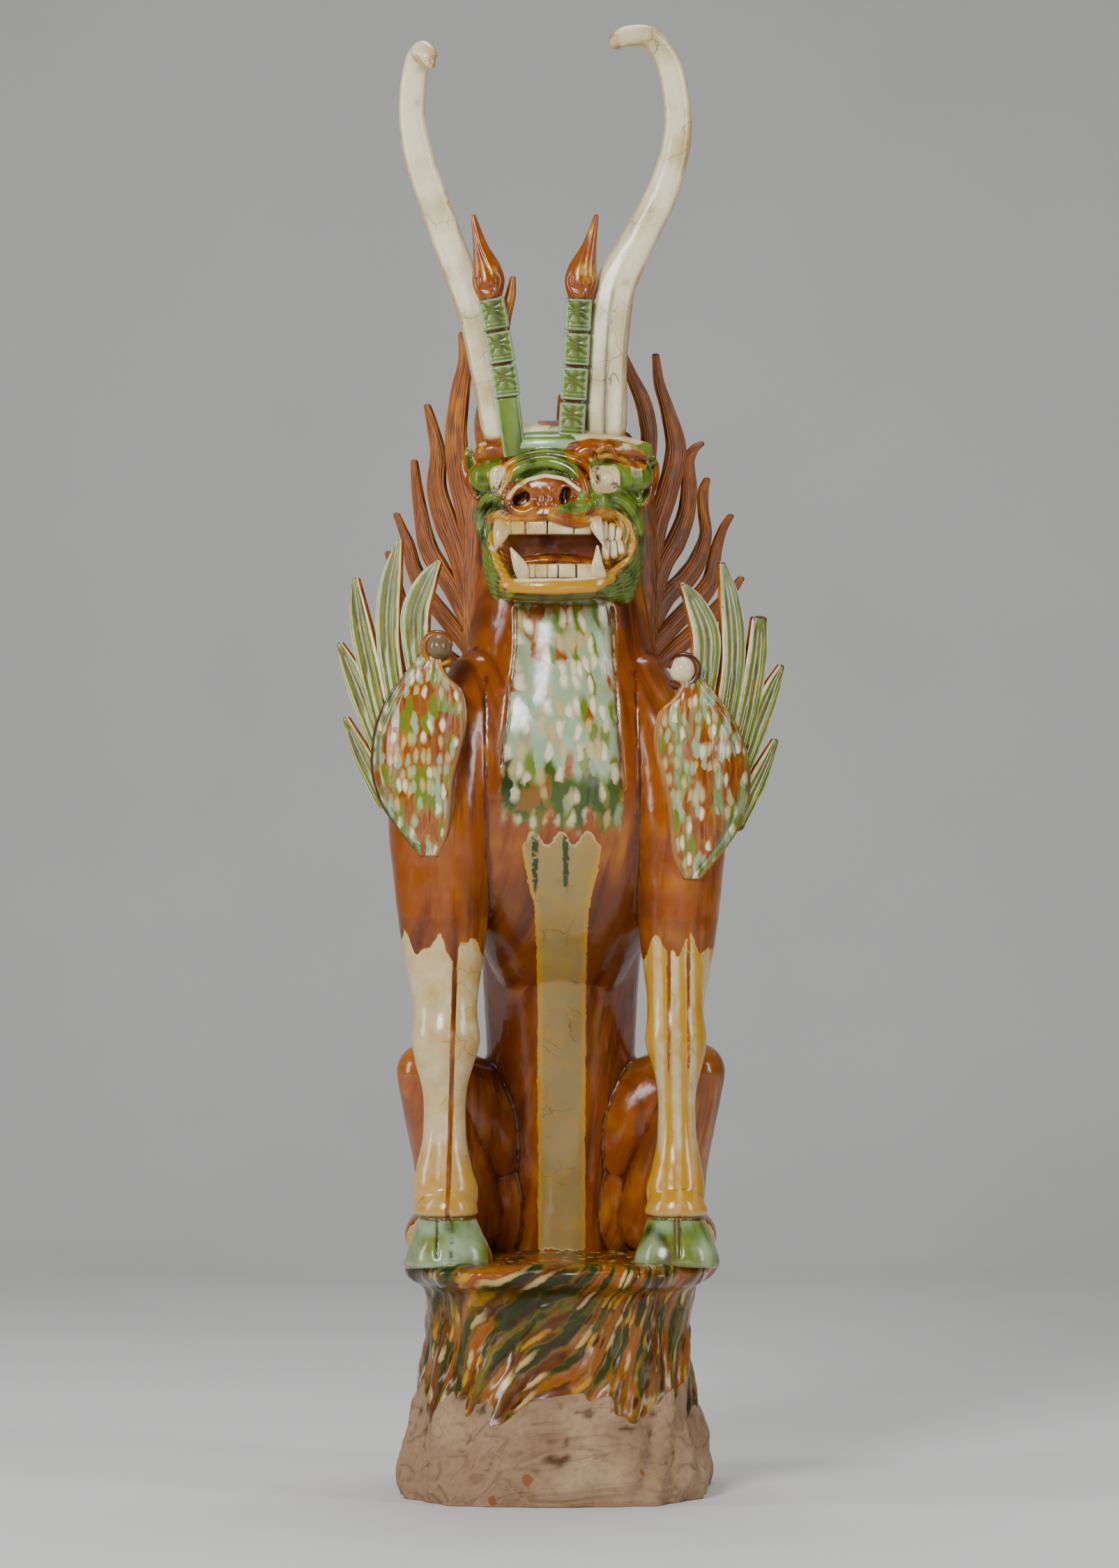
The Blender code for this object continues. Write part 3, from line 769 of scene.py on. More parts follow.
        # Painted shade and pooled glaze: dark in cuts, grooves, holes and gaps
        colour = blend(colour, Tint.DEEP.value, step(mask(Mask.CUT), 0.0, 1.0, 0.85))
        colour = blend(colour, Tint.WORN.value, step(mask(Mask.WORN), 0.0, 1.0, 0.7))
        bump = {"Height": height, "Distance": self.BUMP_DISTANCE, "Strength": self.BUMP_STRENGTH}
        bump = node(tree, "ShaderNodeBump", bump)
        sockets = {"Base Color": colour, "Roughness": rough, "IOR": self.IOR, "Normal": bump}
        shader = node(tree, "ShaderNodeBsdfPrincipled", sockets)
        shader.node.inputs["Specular IOR Level"].default_value = self.shine
        node(tree, "ShaderNodeOutputMaterial", {"Surface": shader})
        return material


# The beast's driving sizes, in metres
PLINTH_TOP = 0.195
HEAD_CENTRE = Vector((0.005, -0.018, 0.800))
HEAD_TURN = math.radians(-8)


def mirrored(side: int, rows: Rows) -> list[tuple[float, ...]]:
    """Put rows on one side of the beast.

    Args:
        side: -1 or 1.
        rows: The rows of the right side.

    Returns:
        The rows with their x on that side.
    """
    return [(side * row[0], *row[1:]) for row in rows]


def fan_place(side: int, root: Vector, sweep: float) -> Matrix:
    """The frame of a fan that is drawn as it looks from the front, then swept back from its root.

    Args:
        side: -1 or 1.
        root: Where the fan turns, on the right side of the beast.
        sweep: The angle it is swept back by.

    Returns:
        The matrix from the drawing to the beast.
    """
    stand = Matrix.Translation((side * root.x, root.y, root.z))
    turn = Matrix.Rotation(side * sweep, 4, "Z")
    stretch = Matrix.Diagonal((side / math.cos(sweep), 1, 1, 1))
    return stand @ turn @ stretch @ Matrix.Translation((-root.x, 0, 0))


@dataclass
class Plinth:
    """The rock plinth: a spreading foot of bare clay, a streaked waist, and a slab with two lobes."""

    half_width: float = 0.130
    half_depth: float = 0.148
    centre_y: float = 0.018
    lobe: float = 0.030
    lean: float = -0.006
    corner: float = 2.8
    sides: int = 330
    # Height in metres, spread as a share of the half sizes, and how far the lobes stand out
    heights: Rows = (
        (0.000, 0.985, 0.20),
        (0.014, 1.000, 0.20),
        (0.040, 0.955, 0.18),
        (0.075, 0.885, 0.15),
        (0.110, 0.845, 0.12),
        (0.140, 0.830, 0.12),
        (0.160, 0.845, 0.16),
        (0.170, 0.870, 0.38),
        (0.177, 0.945, 0.98),
        (0.185, 0.985, 1.12),
        (0.192, 0.975, 1.08),
        (0.1955, 0.930, 0.85),
        (0.1955, 0.800, 0.60),
        (0.1950, 0.500, 0.30),
        (0.1950, 0.030, 0.00),
    )

    def across(self, turn: Array, z: Array) -> Array:
        """How far across the brushed strokes a point lies; they lean most in front.

        Args:
            turn: The angle round the plinth from the front.
            z: The height, in metres.

        Returns:
            The distance across, in metres.
        """
        arc = turn * self.half_width * 0.92
        lean = 0.18 + 0.62 * bell(arc, -0.004, 0.055)
        return arc - lean * (z - 0.10)

    def build(self) -> bpy.types.Object:
        """Shape the plinth.

        Returns:
            The mesh object.
        """
        rows = spline(self.heights, 11)
        angle = 2 * math.pi * np.arange(self.sides) / self.sides
        cosine, sine = np.cos(angle), np.sin(angle)
        u = np.sign(cosine) * np.abs(cosine) ** (2 / self.corner)
        v = np.sign(sine) * np.abs(sine) ** (2 / self.corner)
        turn = np.arctan2(np.sin(angle + math.pi / 2), np.cos(angle + math.pi / 2))
        z, spread, lobe = (rows[:, k, None] for k in range(3))
        z, spread, lobe, turn = np.broadcast_arrays(z, spread, lobe, turn)
        across = self.across(turn, z)
        rock = 0.0022 * np.sin(11 * angle + 45 * z) + 0.0016 * np.sin(23 * angle - 80 * z)
        lobes = bell(np.sqrt(u * u + 0.02), 0.64, 0.36) - 0.15 * bell(u, 0, 0.35)
        push = self.lobe * lobe * np.maximum(0, -v) ** 3 * lobes
        points = np.stack(
            [
                u * (self.half_width * spread + rock * (spread > 0.5)) + self.lean * (1 - z / PLINTH_TOP),
                self.centre_y + v * (self.half_depth * spread + rock * (spread > 0.5)) - push,
                z,
            ],
            axis=-1,
        )
        side = soft_step(0.004, 0.02, z) * soft_step(0.196, 0.185, z) * (spread > 0.8)
        cut_at = np.stack([across / 0.006, z / 0.12, turn], axis=-1)
        cuts = ripple(cut_at, 1.6, 5, 2)
        ragged = ripple(np.stack([across, 0.25 * z, 0 * z], axis=-1), 0.03, 8)
        glaze_end = 0.075 + 0.016 * ragged + 0.010 * np.sin(70 * across)
        bare = soft_step(0.004, -0.004, z - glaze_end)
        lumps = ripple(points, 0.045, 3)
        slant = z + 0.045 * np.sin(2.2 * turn + 0.6)
        upright = ripple(np.stack([turn / 0.07, z / 0.10, 0 * z], axis=-1), 1.5, 9, 2)
        level = ripple(np.stack([turn / 0.9, slant / 0.010, 2 * turn], axis=-1), 1.5, 10, 3)
        scrape = upright + (level - upright) * soft_step(-0.75, -0.5, turn)
        height = 0.0011 * cuts * (1 - bare) + (0.0024 * lumps + 0.0005 * scrape) * bare
        height = side * (height + 0.0007 * ripple(points, 0.018, 4))
        out = np.stack([cosine, sine], axis=-1)
        points[..., :2] += out * height[..., None]
        top = (z > 0.1945) * (spread < 0.9)
        shell = Shell()
        flow = np.where(top[..., None], points[..., [0, 1, 2]], np.stack([across, z, 0 * z], axis=-1))
        slab = soft_step(0.166, 0.174, z)
        paint = {
            Mask.BARE: bare * (1 - slab),
            Mask.GREEN: 0.5 * (1 - slab) * (0.5 + 0.9 * ripple(cut_at, 3.5, 6, 1)),
            Mask.SPLASH: np.maximum(0.9 * (1 - bare), slab),
            # Dark in the brushed cuts: pooled glaze and painted shade
            Mask.CUT: side * (1 - bare) * soft_step(0.1, -0.9, cuts) * 0.7,
            Mask.WORN: side * soft_step(0.6, 1.1, cuts) * (0.12 + 0.3 * bare),
            Mask.CREAM: 0.3 * slab * top,
        }
        shell.add(points, flow, paint)
        return shell.build("rock_plinth")


@dataclass
class Body:
    """Torso, legs, hooves, back flames and tail, fused to one skin."""

    leg_x: float = 0.0945
    leg_y: float = -0.062
    left_girth: float = 1.12

    TORSO = (
        (0, 82, 165, 56, 52),
        (0, 84, 215, 60, 58),
        (0, 79, 265, 60, 60),
        (0, 68, 330, 61, 60),
        (0, 46, 430, 66, 66),
        (0, 18, 510, 78, 78),
        (0, 0, 575, 86, 90),
        (0, -6, 640, 84, 86),
        (0, -4, 700, 77, 74),
        (0, -4, 750, 68, 62),
        (0, -6, 800, 58, 52),
        (0, -4, 840, 50, 44),
    )
    BREAST = (
        (0, 36, 392, 30, 12),
        (0, 13, 428, 54, 30),
        (0, -5, 462, 70, 39),
        (0, -23, 500, 85, 45),
        (0, -36, 545, 97, 48),
        (0, -40, 590, 98, 52),
        (0, -34, 640, 90, 54),
        (0, -24, 685, 75, 46),
        (0, -16, 715, 60, 36),
    )
    FORELEG = (
        (92, -60, 225, 19, 19),
        (94, -63, 250, 24, 24),
        (95, -63, 268, 21, 22),
        (95, -62, 296, 16, 18),
        (95, -62, 332, 16, 18),
        (95, -65, 358, 22, 23),
        (94, -67, 376, 25, 26),
        (94, -64, 400, 23, 25),
        (95, -60, 430, 27, 30),
        (96, -56, 465, 32, 37),
        (97, -52, 510, 36, 44),
        (96, -48, 560, 40, 52),
        (86, -38, 615, 36, 54),
        (66, -24, 665, 26, 42),
    )
    HOOF = (
        (0, -14, -6, 35, 40),
        (0, -13, 3, 35, 39),
        (0, -9, 18, 29, 33),
        (0, -5, 34, 23, 26),
        (0, -3, 42, 18, 20),
    )
    CORONET = (
        (0, -5, 30, 21, 24),
        (0, -6, 38, 26, 30),
        (0, -4, 45, 24, 27),
        (0, 0, 53, 18, 20),
    )
    THIGH = (
        (44, 104, 250, 50, 54),
        (60, 80, 276, 54, 60),
        (84, 42, 312, 46, 50),
        (103, 10, 338, 30, 33),
    )
    SHANK = (
        (112, -2, 346, 24, 26),
        (103, 8, 312, 27, 32),
        (90, 24, 266, 32, 34),
        (82, 36, 220, 36, 32),
    )
    HAUNCH = ((46, 90, 205, 38, 50), (56, 82, 235, 46, 58), (52, 86, 275, 42, 54))
    FOOT = (
        (84, 90, 208, 22, 20),
        (90, 62, 216, 28, 26),
        (100, 12, 214, 26, 23),
        (108, -22, 212, 21, 20),
        (111, -38, 208, 16, 15),
    )
    CREST = (
        (38, 815, 1.25),
        (52, 748, 1.05),
        (66, 684, 1.0),
        (84, 620, 0.95),
        (98, 556, 0.9),
        (110, 492, 0.85),
        (124, 428, 0.8),
    )
    TAIL = (
        (0, 130, 205, 17, 16),
        (0, 146, 238, 15, 13),
        (0, 145, 285, 16, 12),
        (0, 137, 330, 13, 10),
        (0, 140, 362, 6, 5),
    )
    # The two incised lines beside the chest panel: x and z from top to bottom
    PANEL = (
        ((-37.4, 728), (-37.4, 694), (-41.9, 655), (-47.6, 601)),
        ((41.9, 728), (44.2, 683), (47.0, 626), (50.4, 581)),
    )
    # The panel's left and right edges: heights, and x at each
    PANEL_LEFT = ((581, 601, 655, 694, 728), (-48, -47.6, -41.9, -37.4, -37.4))
    PANEL_RIGHT = ((581, 626, 683, 728), (50.4, 47, 44.2, 41.9))
    # The pale stripe down the belly: z and half width
    STRIPE_Z = (195, 420, 480, 512, 540)
    STRIPE_HALF = (20, 20, 22, 29, 35)
    # Where the amber ends on the forelegs
    DRIP_Z = 452

    def shell(self) -> Shell:
        """Gather all forms of the body.

        Returns:
            The shell that holds them.
        """
        shell = Shell()
        Limb(self.TORSO, sides=48, steps=8, domed=False).into(shell)
        Limb(self.BREAST, corner=2.3, sides=48, steps=8).into(shell)
        for side in (-1, 1):
            girth = self.left_girth if side < 0 else 1
            leg = [(x, y, z, girth * half, deep) for x, y, z, half, deep in self.FORELEG]
            Limb(mirrored(side, leg), sides=40, steps=8).into(shell)
            turn = Matrix.Rotation(math.radians(12 if side < 0 else 0), 4, "Z")
            place = Matrix.Translation((side * self.leg_x, self.leg_y, PLINTH_TOP)) @ turn
            Limb(self.HOOF, corner=2.6, sides=40, place=place, domed=False).into(shell)
            Limb(self.CORONET, sides=40, place=place).into(shell)
            Limb(mirrored(side, self.THIGH), front=UP, sides=40, steps=8).into(shell)
            Limb(mirrored(side, self.SHANK), sides=40, steps=8).into(shell)
            Limb(mirrored(side, self.HAUNCH), sides=40).into(shell)
            Limb(mirrored(side, self.FOOT), front=UP, sides=40).into(shell)
        for back, height, scale in self.CREST:
            rows = [
                (0, back - 16, height - 10, 6, 17 * scale),
                (0, back + 4 * scale, height + 16 * scale, 6, 15 * scale),
                (0, back + 14 * scale, height + 38 * scale, 5, 10 * scale),
                (0, back + 17 * scale, height + 58 * scale, 4, 6 * scale),
                (0, back + 24 * scale, height + 76 * scale, 3, 3),
            ]
            Limb(rows).into(shell)
        Limb(self.TAIL).into(shell)
        return shell

    def relief(self, points: Array, normals: Array) -> Array:
        """Incised lines, the folds of the chest and the marks of shaping.

        Args:
            points: The skin's points, in metres.
            normals: Their normals.

        Returns:
            The height in millimetres at each point.
        """
        x, z = points[:, 0] / MM, points[:, 2] / MM
        front = normals[:, 1] < -0.2
        height = 0.5 * ripple(points, 0.09, 11)
        height += 0.16 * ripple(points, 0.018, 12)
        for line in self.PANEL:
            distance, _ = along_path(np.stack([x, z], axis=1), spline(line, 8))
            height -= 2.0 * front * bell(distance, 0, 1.5)
        for side in (-1, 1):
            cleft = np.abs(x - side * 1000 * self.leg_x + (6 if side < 0 else -2))
            hoof = soft_step(198, 203, z) * soft_step(236, 228, z) * (points[:, 1] < -0.085)
            height -= 2.2 * hoof * bell(cleft, 0, 1.3)
            band = (np.abs(np.abs(x) - 95) < 34) * (points[:, 1] < 0)
            height -= 1.4 * band * bell(z, 231, 1.6)
        return height

    def paint(self, points: Array, normals: Array) -> Paint:
        """Where each glaze lies on the body.

        Args:
            points: The skin's points, in metres.
            normals: Their normals.

        Returns:
            The masks at each point.
        """
        x, y, z = (points / MM).T
        front = soft_step(0.15, -0.25, normals[:, 1])
        leg = (np.abs(np.abs(x) - 95) < 36) * (y < -35) * (z < 475) * (z > 192)
        half = np.interp(z, self.STRIPE_Z, self.STRIPE_HALF)
        lobes = 540 + 6 * np.cos(2 * math.pi * x / 22)
        stripe = soft_step(half + 3, half - 4, np.abs(x - 1)) * front * (y < 40) * (z > 196)
        stripe = stripe * soft_step(lobes + 4, lobes - 4, z) * (~leg)
        drips = self.DRIP_Z + 4 * np.sin(x / 2.3) + 7 * np.sin(x / 4.1 + 1)
        left_drip = bell(x, -87 + 0.03 * (z - 400), 2.4) * (x < 0)
        right_drip = np.maximum(bell(x, 88, 1.8), bell(x, 104, 1.6)) * soft_step(300, 380, z)
        cream_leg = soft_step(drips + 3, drips - 3, z) * leg
        cream_leg = cream_leg * (1 - np.maximum(left_drip, right_drip * (x > 0)))
        hoof = leg * soft_step(232, 228, z) * (1 - (np.abs(x) > 113) * (y > -62))
        coronet = leg * bell(z, 238, 7)
        edge = bell(np.abs(x - 1), half, 4.5) * front * (y < 40)
        streaks = (x > 0) * (0.62 + 0.42 * np.sin(x / 2.1 + z / 90)) + (x < 0) * 0.45 * bell(x, -96, 7)
        low = soft_step(300, 270, z)
        streaks = leg * (streaks + (x > 0) * 0.4 * low) * soft_step(236, 246, z)
        left, right = np.interp(z, *self.PANEL_LEFT), np.interp(z, *self.PANEL_RIGHT)
        inside = soft_step(-1.5, 1.5, x - left) * soft_step(1.5, -1.5, x - right)
        cleft = np.minimum(np.abs(x + 88.5), np.abs(x - 92.5))
        hatch = 0.35 * soft_step(0.3, -0.8, ripple(np.stack([x / 4, z / 16, 0 * z], axis=1), 1.5, 70, 2))
        mottle = ripple(points, 0.03, 71, 2)
        split = hoof * (y < -85) * np.maximum(bell(cleft, 0, 1.6), hatch)
        runs = 8 * np.sin(x / 5.0) + 6 * np.sin(x / 2.7 + 2)
        chest = inside * front * soft_step(546, 560, z + runs) * soft_step(742, 730, z) * (y < -40)
        low_chest = soft_step(606, 586, z + runs)
        high_chest = soft_step(708, 722, z + runs)
        # Painted shade in the recess between the forelegs
        shaded_recess = soft_step(560, 480, z) * soft_step(300, 360, z) * soft_step(92, 70, np.abs(x))
        shaded_recess = shaded_recess * (~leg) * (y < 70)
        run_down = soft_step(470, 520, z) * np.maximum(bell(x, -21, 3), bell(x, 4, 3)) * stripe
        green_chest = chest * (1 - 0.8 * high_chest - 0.12 * low_chest)
        pale_hoof = hoof * (np.where(x < 0, 0.55, 0.32) + 0.35 * mottle)
        # Painted shade on surfaces turned away from the front
        turned_away_shade = soft_step(-0.75, -0.2, normals[:, 1])
        yellow = [edge, streaks, 0.4 * stripe, 0.8 * coronet, leg * (0.5 + 0.2 * low)]
        # Painted shade in the recess, on the belly stripe and on sides turned away, with darker glaze on the
        # legs and the low chest
        shade_and_pools = [0.55 * shaded_recess, 0.95 * stripe, 0.35 * leg, 0.75 * chest * low_chest, 0.3 * turned_away_shade]
        return {
            Mask.CREAM: np.maximum(stripe, cream_leg),
            Mask.OCHRE: np.maximum.reduce(yellow),
            Mask.GREEN: np.maximum.reduce([hoof, green_chest, run_down]),
            Mask.PALE: np.maximum(pale_hoof, chest * (1 - low_chest)),
            Mask.SPLASH: chest * (1 - 0.5 * low_chest),
            # Dark hoof clefts and the incised band over the hooves: pooled glaze and painted shade
            Mask.CUT: np.maximum(0.9 * split, 0.6 * leg * bell(z, 231, 1.6)),
            Mask.POOL: np.maximum.reduce(shade_and_pools),
        }

    def build(self) -> bpy.types.Object:
        """Shape and paint the body.

        Returns:
            The mesh object.
        """
        obj = fused(self.shell(), "seated_body", 0.0017, 9)
        carve(obj, self.relief)
        points, normals = points_of(obj)
        flow = np.stack([points[:, 0] + 0.7 * points[:, 1], points[:, 2], points[:, 1]], axis=1)
        dress(obj, flow, self.paint(points, normals))
        return obj


@dataclass(frozen=True)
class Zone:
    """A part of the face that carries its own glaze.

    Attributes:
        path: Its middle line as x and z, in millimetres.
        reach: How far it reaches from that line.
        values: The masks that it sets.
    """

    path: Rows
    reach: float
    values: dict[Mask, float]


AMBER = {Mask.GREEN: 0.0, Mask.PALE: 0.0, Mask.CREAM: 0.0}
YELLOW = {Mask.GREEN: 0.0, Mask.CREAM: 1.0, Mask.OCHRE: 1.0}
PALE_CREAM = {Mask.GREEN: 0.0, Mask.CREAM: 1.0, Mask.OCHRE: 0.25}
YELLOW_CREAM = {Mask.GREEN: 0.0, Mask.CREAM: 0.85, Mask.OCHRE: 0.45}
STAINED_AMBER = {Mask.GREEN: 0.0, Mask.PALE: 0.0, Mask.CREAM: 0.38, Mask.OCHRE: 0.6}


@dataclass
class Head:
    """The open-mouthed head, turned a little to one side, with its brows, ears, lips and chin.

    Its masses are given in the head's own frame. The forms of the face are given as they stand on the
    beast, as x, y, z, half width and half depth in millimetres.
    """

    place: Matrix = field(
        default_factory=lambda: Matrix.Translation(HEAD_CENTRE) @ Matrix.Rotation(HEAD_TURN, 4, "Z")
    )

    ROLLS = (
        ((-45.2, -99.5, 820.8, 4.6, 4.5), (-39.5, -106.5, 835.2, 5.2, 5.4),
         (-26, -107.5, 842.5, 5.2, 5.4), (-11.3, -106.5, 845.3, 5.2, 5.4),
         (4.5, -109.5, 841.2, 5.2, 5.4), (14.7, -112.5, 832.1, 5.2, 5.4),
         (19.2, -112.5, 820.2, 5.2, 5.4), (13.5, -113.5, 809.5, 4.6, 4.5)),
        ((-51, -90.5, 827, 3.3, 3.6), (-40.7, -96.5, 843.7, 3.9, 4.5), (-11.3, -95.5, 851.7, 3.9, 4.5),
         (19.2, -100.5, 843.5, 3.9, 4.5), (27.1, -100.5, 827.7, 3.3, 3.6)),
    )
    NOSE = (
        ((-38.5, -98, 819.9, 9, 7), (-29.4, -106, 822.3, 11, 8), (-11.9, -110, 823.8, 12, 8),
         (6.2, -110, 822.2, 11, 8), (14.7, -102, 820.3, 9, 7)),
        ((-23.7, -111, 821.5, 3.3, 5), (-31.6, -112, 824.8, 3.5, 5.5), (-39.5, -110, 820.4, 4, 6),
         (-41.2, -109, 812, 4.4, 6), (-36.1, -110, 805.2, 4.4, 6), (-28.2, -112, 804, 3.7, 6),
         (-21.4, -114, 807.8, 3.3, 5)),
        ((-3.4, -113, 821.4, 3.3, 5), (5.1, -114, 825.3, 3.5, 5.5), (13.5, -113, 822.5, 4, 6),
         (15.8, -112, 815.2, 4.4, 6), (11.3, -113, 807.9, 4.4, 6), (2.8, -115, 806.1, 3.7, 6),
         (-3.9, -116, 809.4, 3.3, 5)),
        ((-15.8, -114, 823.4, 2, 4), (-15.2, -114, 811, 1.9, 4), (-14.1, -112, 798.7, 2.2, 4)),
        ((-8.4, -115, 823.4, 2, 4), (-9, -115, 811, 1.9, 4), (-9.6, -113, 798.7, 2.2, 4)),
    )
    LIPS = (
        ((-13.5, -112, 802.2, 5, 6), (-24.8, -110, 801.1, 5, 6), (-37.3, -104, 801.4, 5, 6),
         (-48.7, -95, 801.8, 5, 6), (-55.6, -85, 800, 4.5, 5.1)),
        ((-10.1, -113, 802.1, 5, 6), (1.1, -112, 798.8, 5.6, 6), (13.5, -109, 796.1, 5.4, 6),
         (23.7, -104, 799.1, 5, 6), (33.9, -96, 804, 4.5, 5.1)),
        ((33.9, -95, 804, 3.5, 5.1), (47.6, -86, 802.2, 2.7, 4.2), (56.7, -81, 793.3, 2.4, 4.2),
         (59, -79, 779.8, 2.4, 4.2), (54.4, -82, 767.2, 2.4, 4.2), (44.2, -89, 757.9, 2.8, 5.1),
         (35, -98, 749.6, 3.9, 6)),
        ((-55.6, -84, 800, 3.5, 5.1), (-57.3, -79, 787.7, 3.5, 5.1), (-55, -80, 774.1, 3.9, 5.1),
         (-49.9, -86, 761.4, 4.4, 6), (-43, -97, 748.5, 4.4, 6)),
        ((-44.1, -95, 747.5, 5.3, 6), (-33.9, -102, 743.8, 5.9, 6.8), (-13.5, -108, 743.1, 5.9, 6.8),
         (9, -108, 743.6, 5.9, 6.8), (26, -104, 746, 5.9, 6.8), (39.6, -94, 752, 5.3, 6)),
        ((-36.1, -104.5, 748.9, 1.6, 3), (-13.5, -110.5, 749.2, 1.6, 3), (9, -110.5, 749.2, 1.6, 3),
         (29.4, -104.5, 751.1, 1.6, 3)),
    )
    BROWS = (
        ((-66.1, -58, 853.4, 4.5, 5.9), (-59.1, -70, 856.8, 4.8, 5.9), (-49.9, -78, 857.5, 4.8, 5.9),
         (-40.2, -84, 852.6, 4.5, 5.9)),
        ((11.3, -92.5, 851.6, 4.3, 5), (24.9, -92.5, 856.7, 5, 6.5), (40.2, -87.5, 856.4, 5.4, 6.5),
         (54.5, -76.5, 854.7, 5, 6.5), (64.3, -60.5, 851.1, 3.6, 5)),
        ((31, -97, 849.5, 2.2, 4), (40, -96, 851, 2.4, 4), (48, -92, 848.5, 2.4, 4),
         (55, -84, 845.5, 2.2, 4)),
        ((30, -100, 854, 2.2, 4), (35, -102, 857, 2.8, 4.5), (41, -101, 856, 2.8, 4.5),
         (44, -99, 852, 2.2, 3)),
    )
    FOLDS = (
        ((-43, -96, 812, 4, 6), (-52.2, -84, 817.1, 4.5, 7), (-60.9, -70, 815.5, 5, 7),
         (-65, -60, 803.4, 5, 7), (-63.9, -58, 787.5, 5, 7)),
        ((19.2, -108, 811.4, 4, 6), (32.8, -99, 815.2, 4.5, 7), (46.5, -89, 814.6, 5, 7),
         (57.9, -80, 807.1, 5, 7), (63.7, -70, 791.6, 5, 7)),
    )
    EARS = (
        ((-67, -54, 822, 6, 6), (-70, -49, 832, 9.5, 7), (-73, -45, 844, 10, 6.5), (-75, -43, 853, 7, 5),
         (-76, -42, 858, 3, 3)),
        ((67, -59, 816, 6, 6), (69, -53, 826, 9.5, 7), (72, -49, 838, 9.5, 6.5), (75, -46, 846, 6.5, 5),
         (76, -45, 851, 3, 3)),
    )
    TONGUE = (
        ((-35.2, -84, 763.8, 4, 14), (-3.4, -87, 766, 5, 16), (26.1, -86, 763.2, 4, 14)),
        ((-46.7, -68, 777, 24, 8), (-3.4, -70, 776.9, 26, 8), (36.4, -72, 776.8, 24, 8)),
    )
    SHELF = (
        (-58, -54, 856, 9, 18), (-34, -68, 859, 11, 21), (0, -75, 860, 11, 22), (38, -72, 859, 11, 20),
        (64, -58, 856, 9, 17),
    )
    SOCKETS = (
        (-60, -48, 834, 12, 18), (-46, -62, 834, 14, 20), (44, -70, 836, 15, 20), (60, -56, 836, 12, 18),
    )
    GUMS = (
        ((-50, -90, 793, 6, 5), (-11, -103, 792, 6, 6), (26, -98, 793, 6, 5)),
        ((-30, -94, 756, 5.5, 5), (-2, -100, 756, 5.5, 6), (28, -97, 756, 5.5, 5)),
    )
    LEFT_EYE = ((-51, 837), (-50.5, 825))
    RIGHT_EYE = ((32, 835), (40, 835), (40, 829), (33, 828))
    EYE_HOLLOWS = ((LEFT_EYE, 6.5), (RIGHT_EYE, 8.5))
    NOSTRILS = (((-29.4, 816.4), (-33.9, 813.6)), ((4.5, 819.8), (2.8, 814.7)))
    ZONES = (
        Zone(((-35, 877), (-15, 879)), 7, PALE_CREAM),
        Zone(((16, 869), (40, 871), (62, 867)), 6, YELLOW_CREAM),
        Zone(((-64, 865), (-50, 870), (-40, 871)), 5, YELLOW_CREAM),
        Zone(((-15, 881), (1, 881)), 4, AMBER),
        # Painted highlight: a pale band along the edge of the forehead shelf
        Zone(((-52, 860), (-19, 861), (13, 860)), 3.5, {Mask.PALE: 1.0}),
        # Painted shade in the crease under the forehead shelf
        Zone(((-43, 849), (-11, 851), (10, 849)), 3.5, {Mask.PALE: 0.0, Mask.CUT: 0.4}),
        Zone(((-64, 854), (-50, 857), (-41, 851), (-44, 840), (-47, 828)), 6.5, STAINED_AMBER),
        Zone(((12, 853), (26, 857), (40, 855), (54, 851), (63, 848)), 8.5, STAINED_AMBER),
        Zone(((18, 845), (20, 833)), 5, AMBER),
        Zone(LEFT_EYE, 6.5, YELLOW_CREAM),
        Zone(RIGHT_EYE, 8.5, YELLOW_CREAM),
        Zone(((-36, 817), (-11, 820), (12, 819)), 12, AMBER),
        Zone(((-42, 816), (-36, 824), (-27, 830), (-13, 834), (3, 831), (15, 822)), 1.6, PALE_CREAM),
        Zone(((-14, 803), (-37, 801), (-54, 800)), 6, STAINED_AMBER),
        Zone(((-10, 803), (14, 797), (34, 803)), 6, STAINED_AMBER),
        Zone(((1, 806), (15, 809), (18, 818)), 3.5, {Mask.GREEN: 1.0}),
        # Painted shade inside the open mouth
        Zone(((-40, 775), (-2, 774), (34, 774)), 15, {**AMBER, Mask.CUT: 0.15}),
        Zone(((42, 790), (44, 770)), 10, {**AMBER, Mask.CREAM: 0.5}),
        Zone(((34, 804), (48, 802), (57, 793), (59, 779), (54, 767), (44, 758), (35, 750)), 3.6,
             {Mask.GREEN: 0.0, Mask.CREAM: 0.5, Mask.OCHRE: 0.6}),
        Zone(((-54, 786), (-53, 775), (-49, 762), (-42, 750)), 4.5, YELLOW),
        Zone(((-44, 747), (-34, 744), (-14, 743), (9, 744), (26, 746), (38, 752)), 6.5, YELLOW),
        Zone(((-36, 749), (-14, 750), (9, 750), (29, 752)), 1.5, PALE_CREAM),
        # Painted shade on the chin under the lower lip
        Zone(((-34, 731), (-4, 729), (32, 732)), 8,
             {Mask.PALE: 0.0, Mask.GREEN: 0.7, Mask.CREAM: 0.0, Mask.CUT: 0.7}),
    )

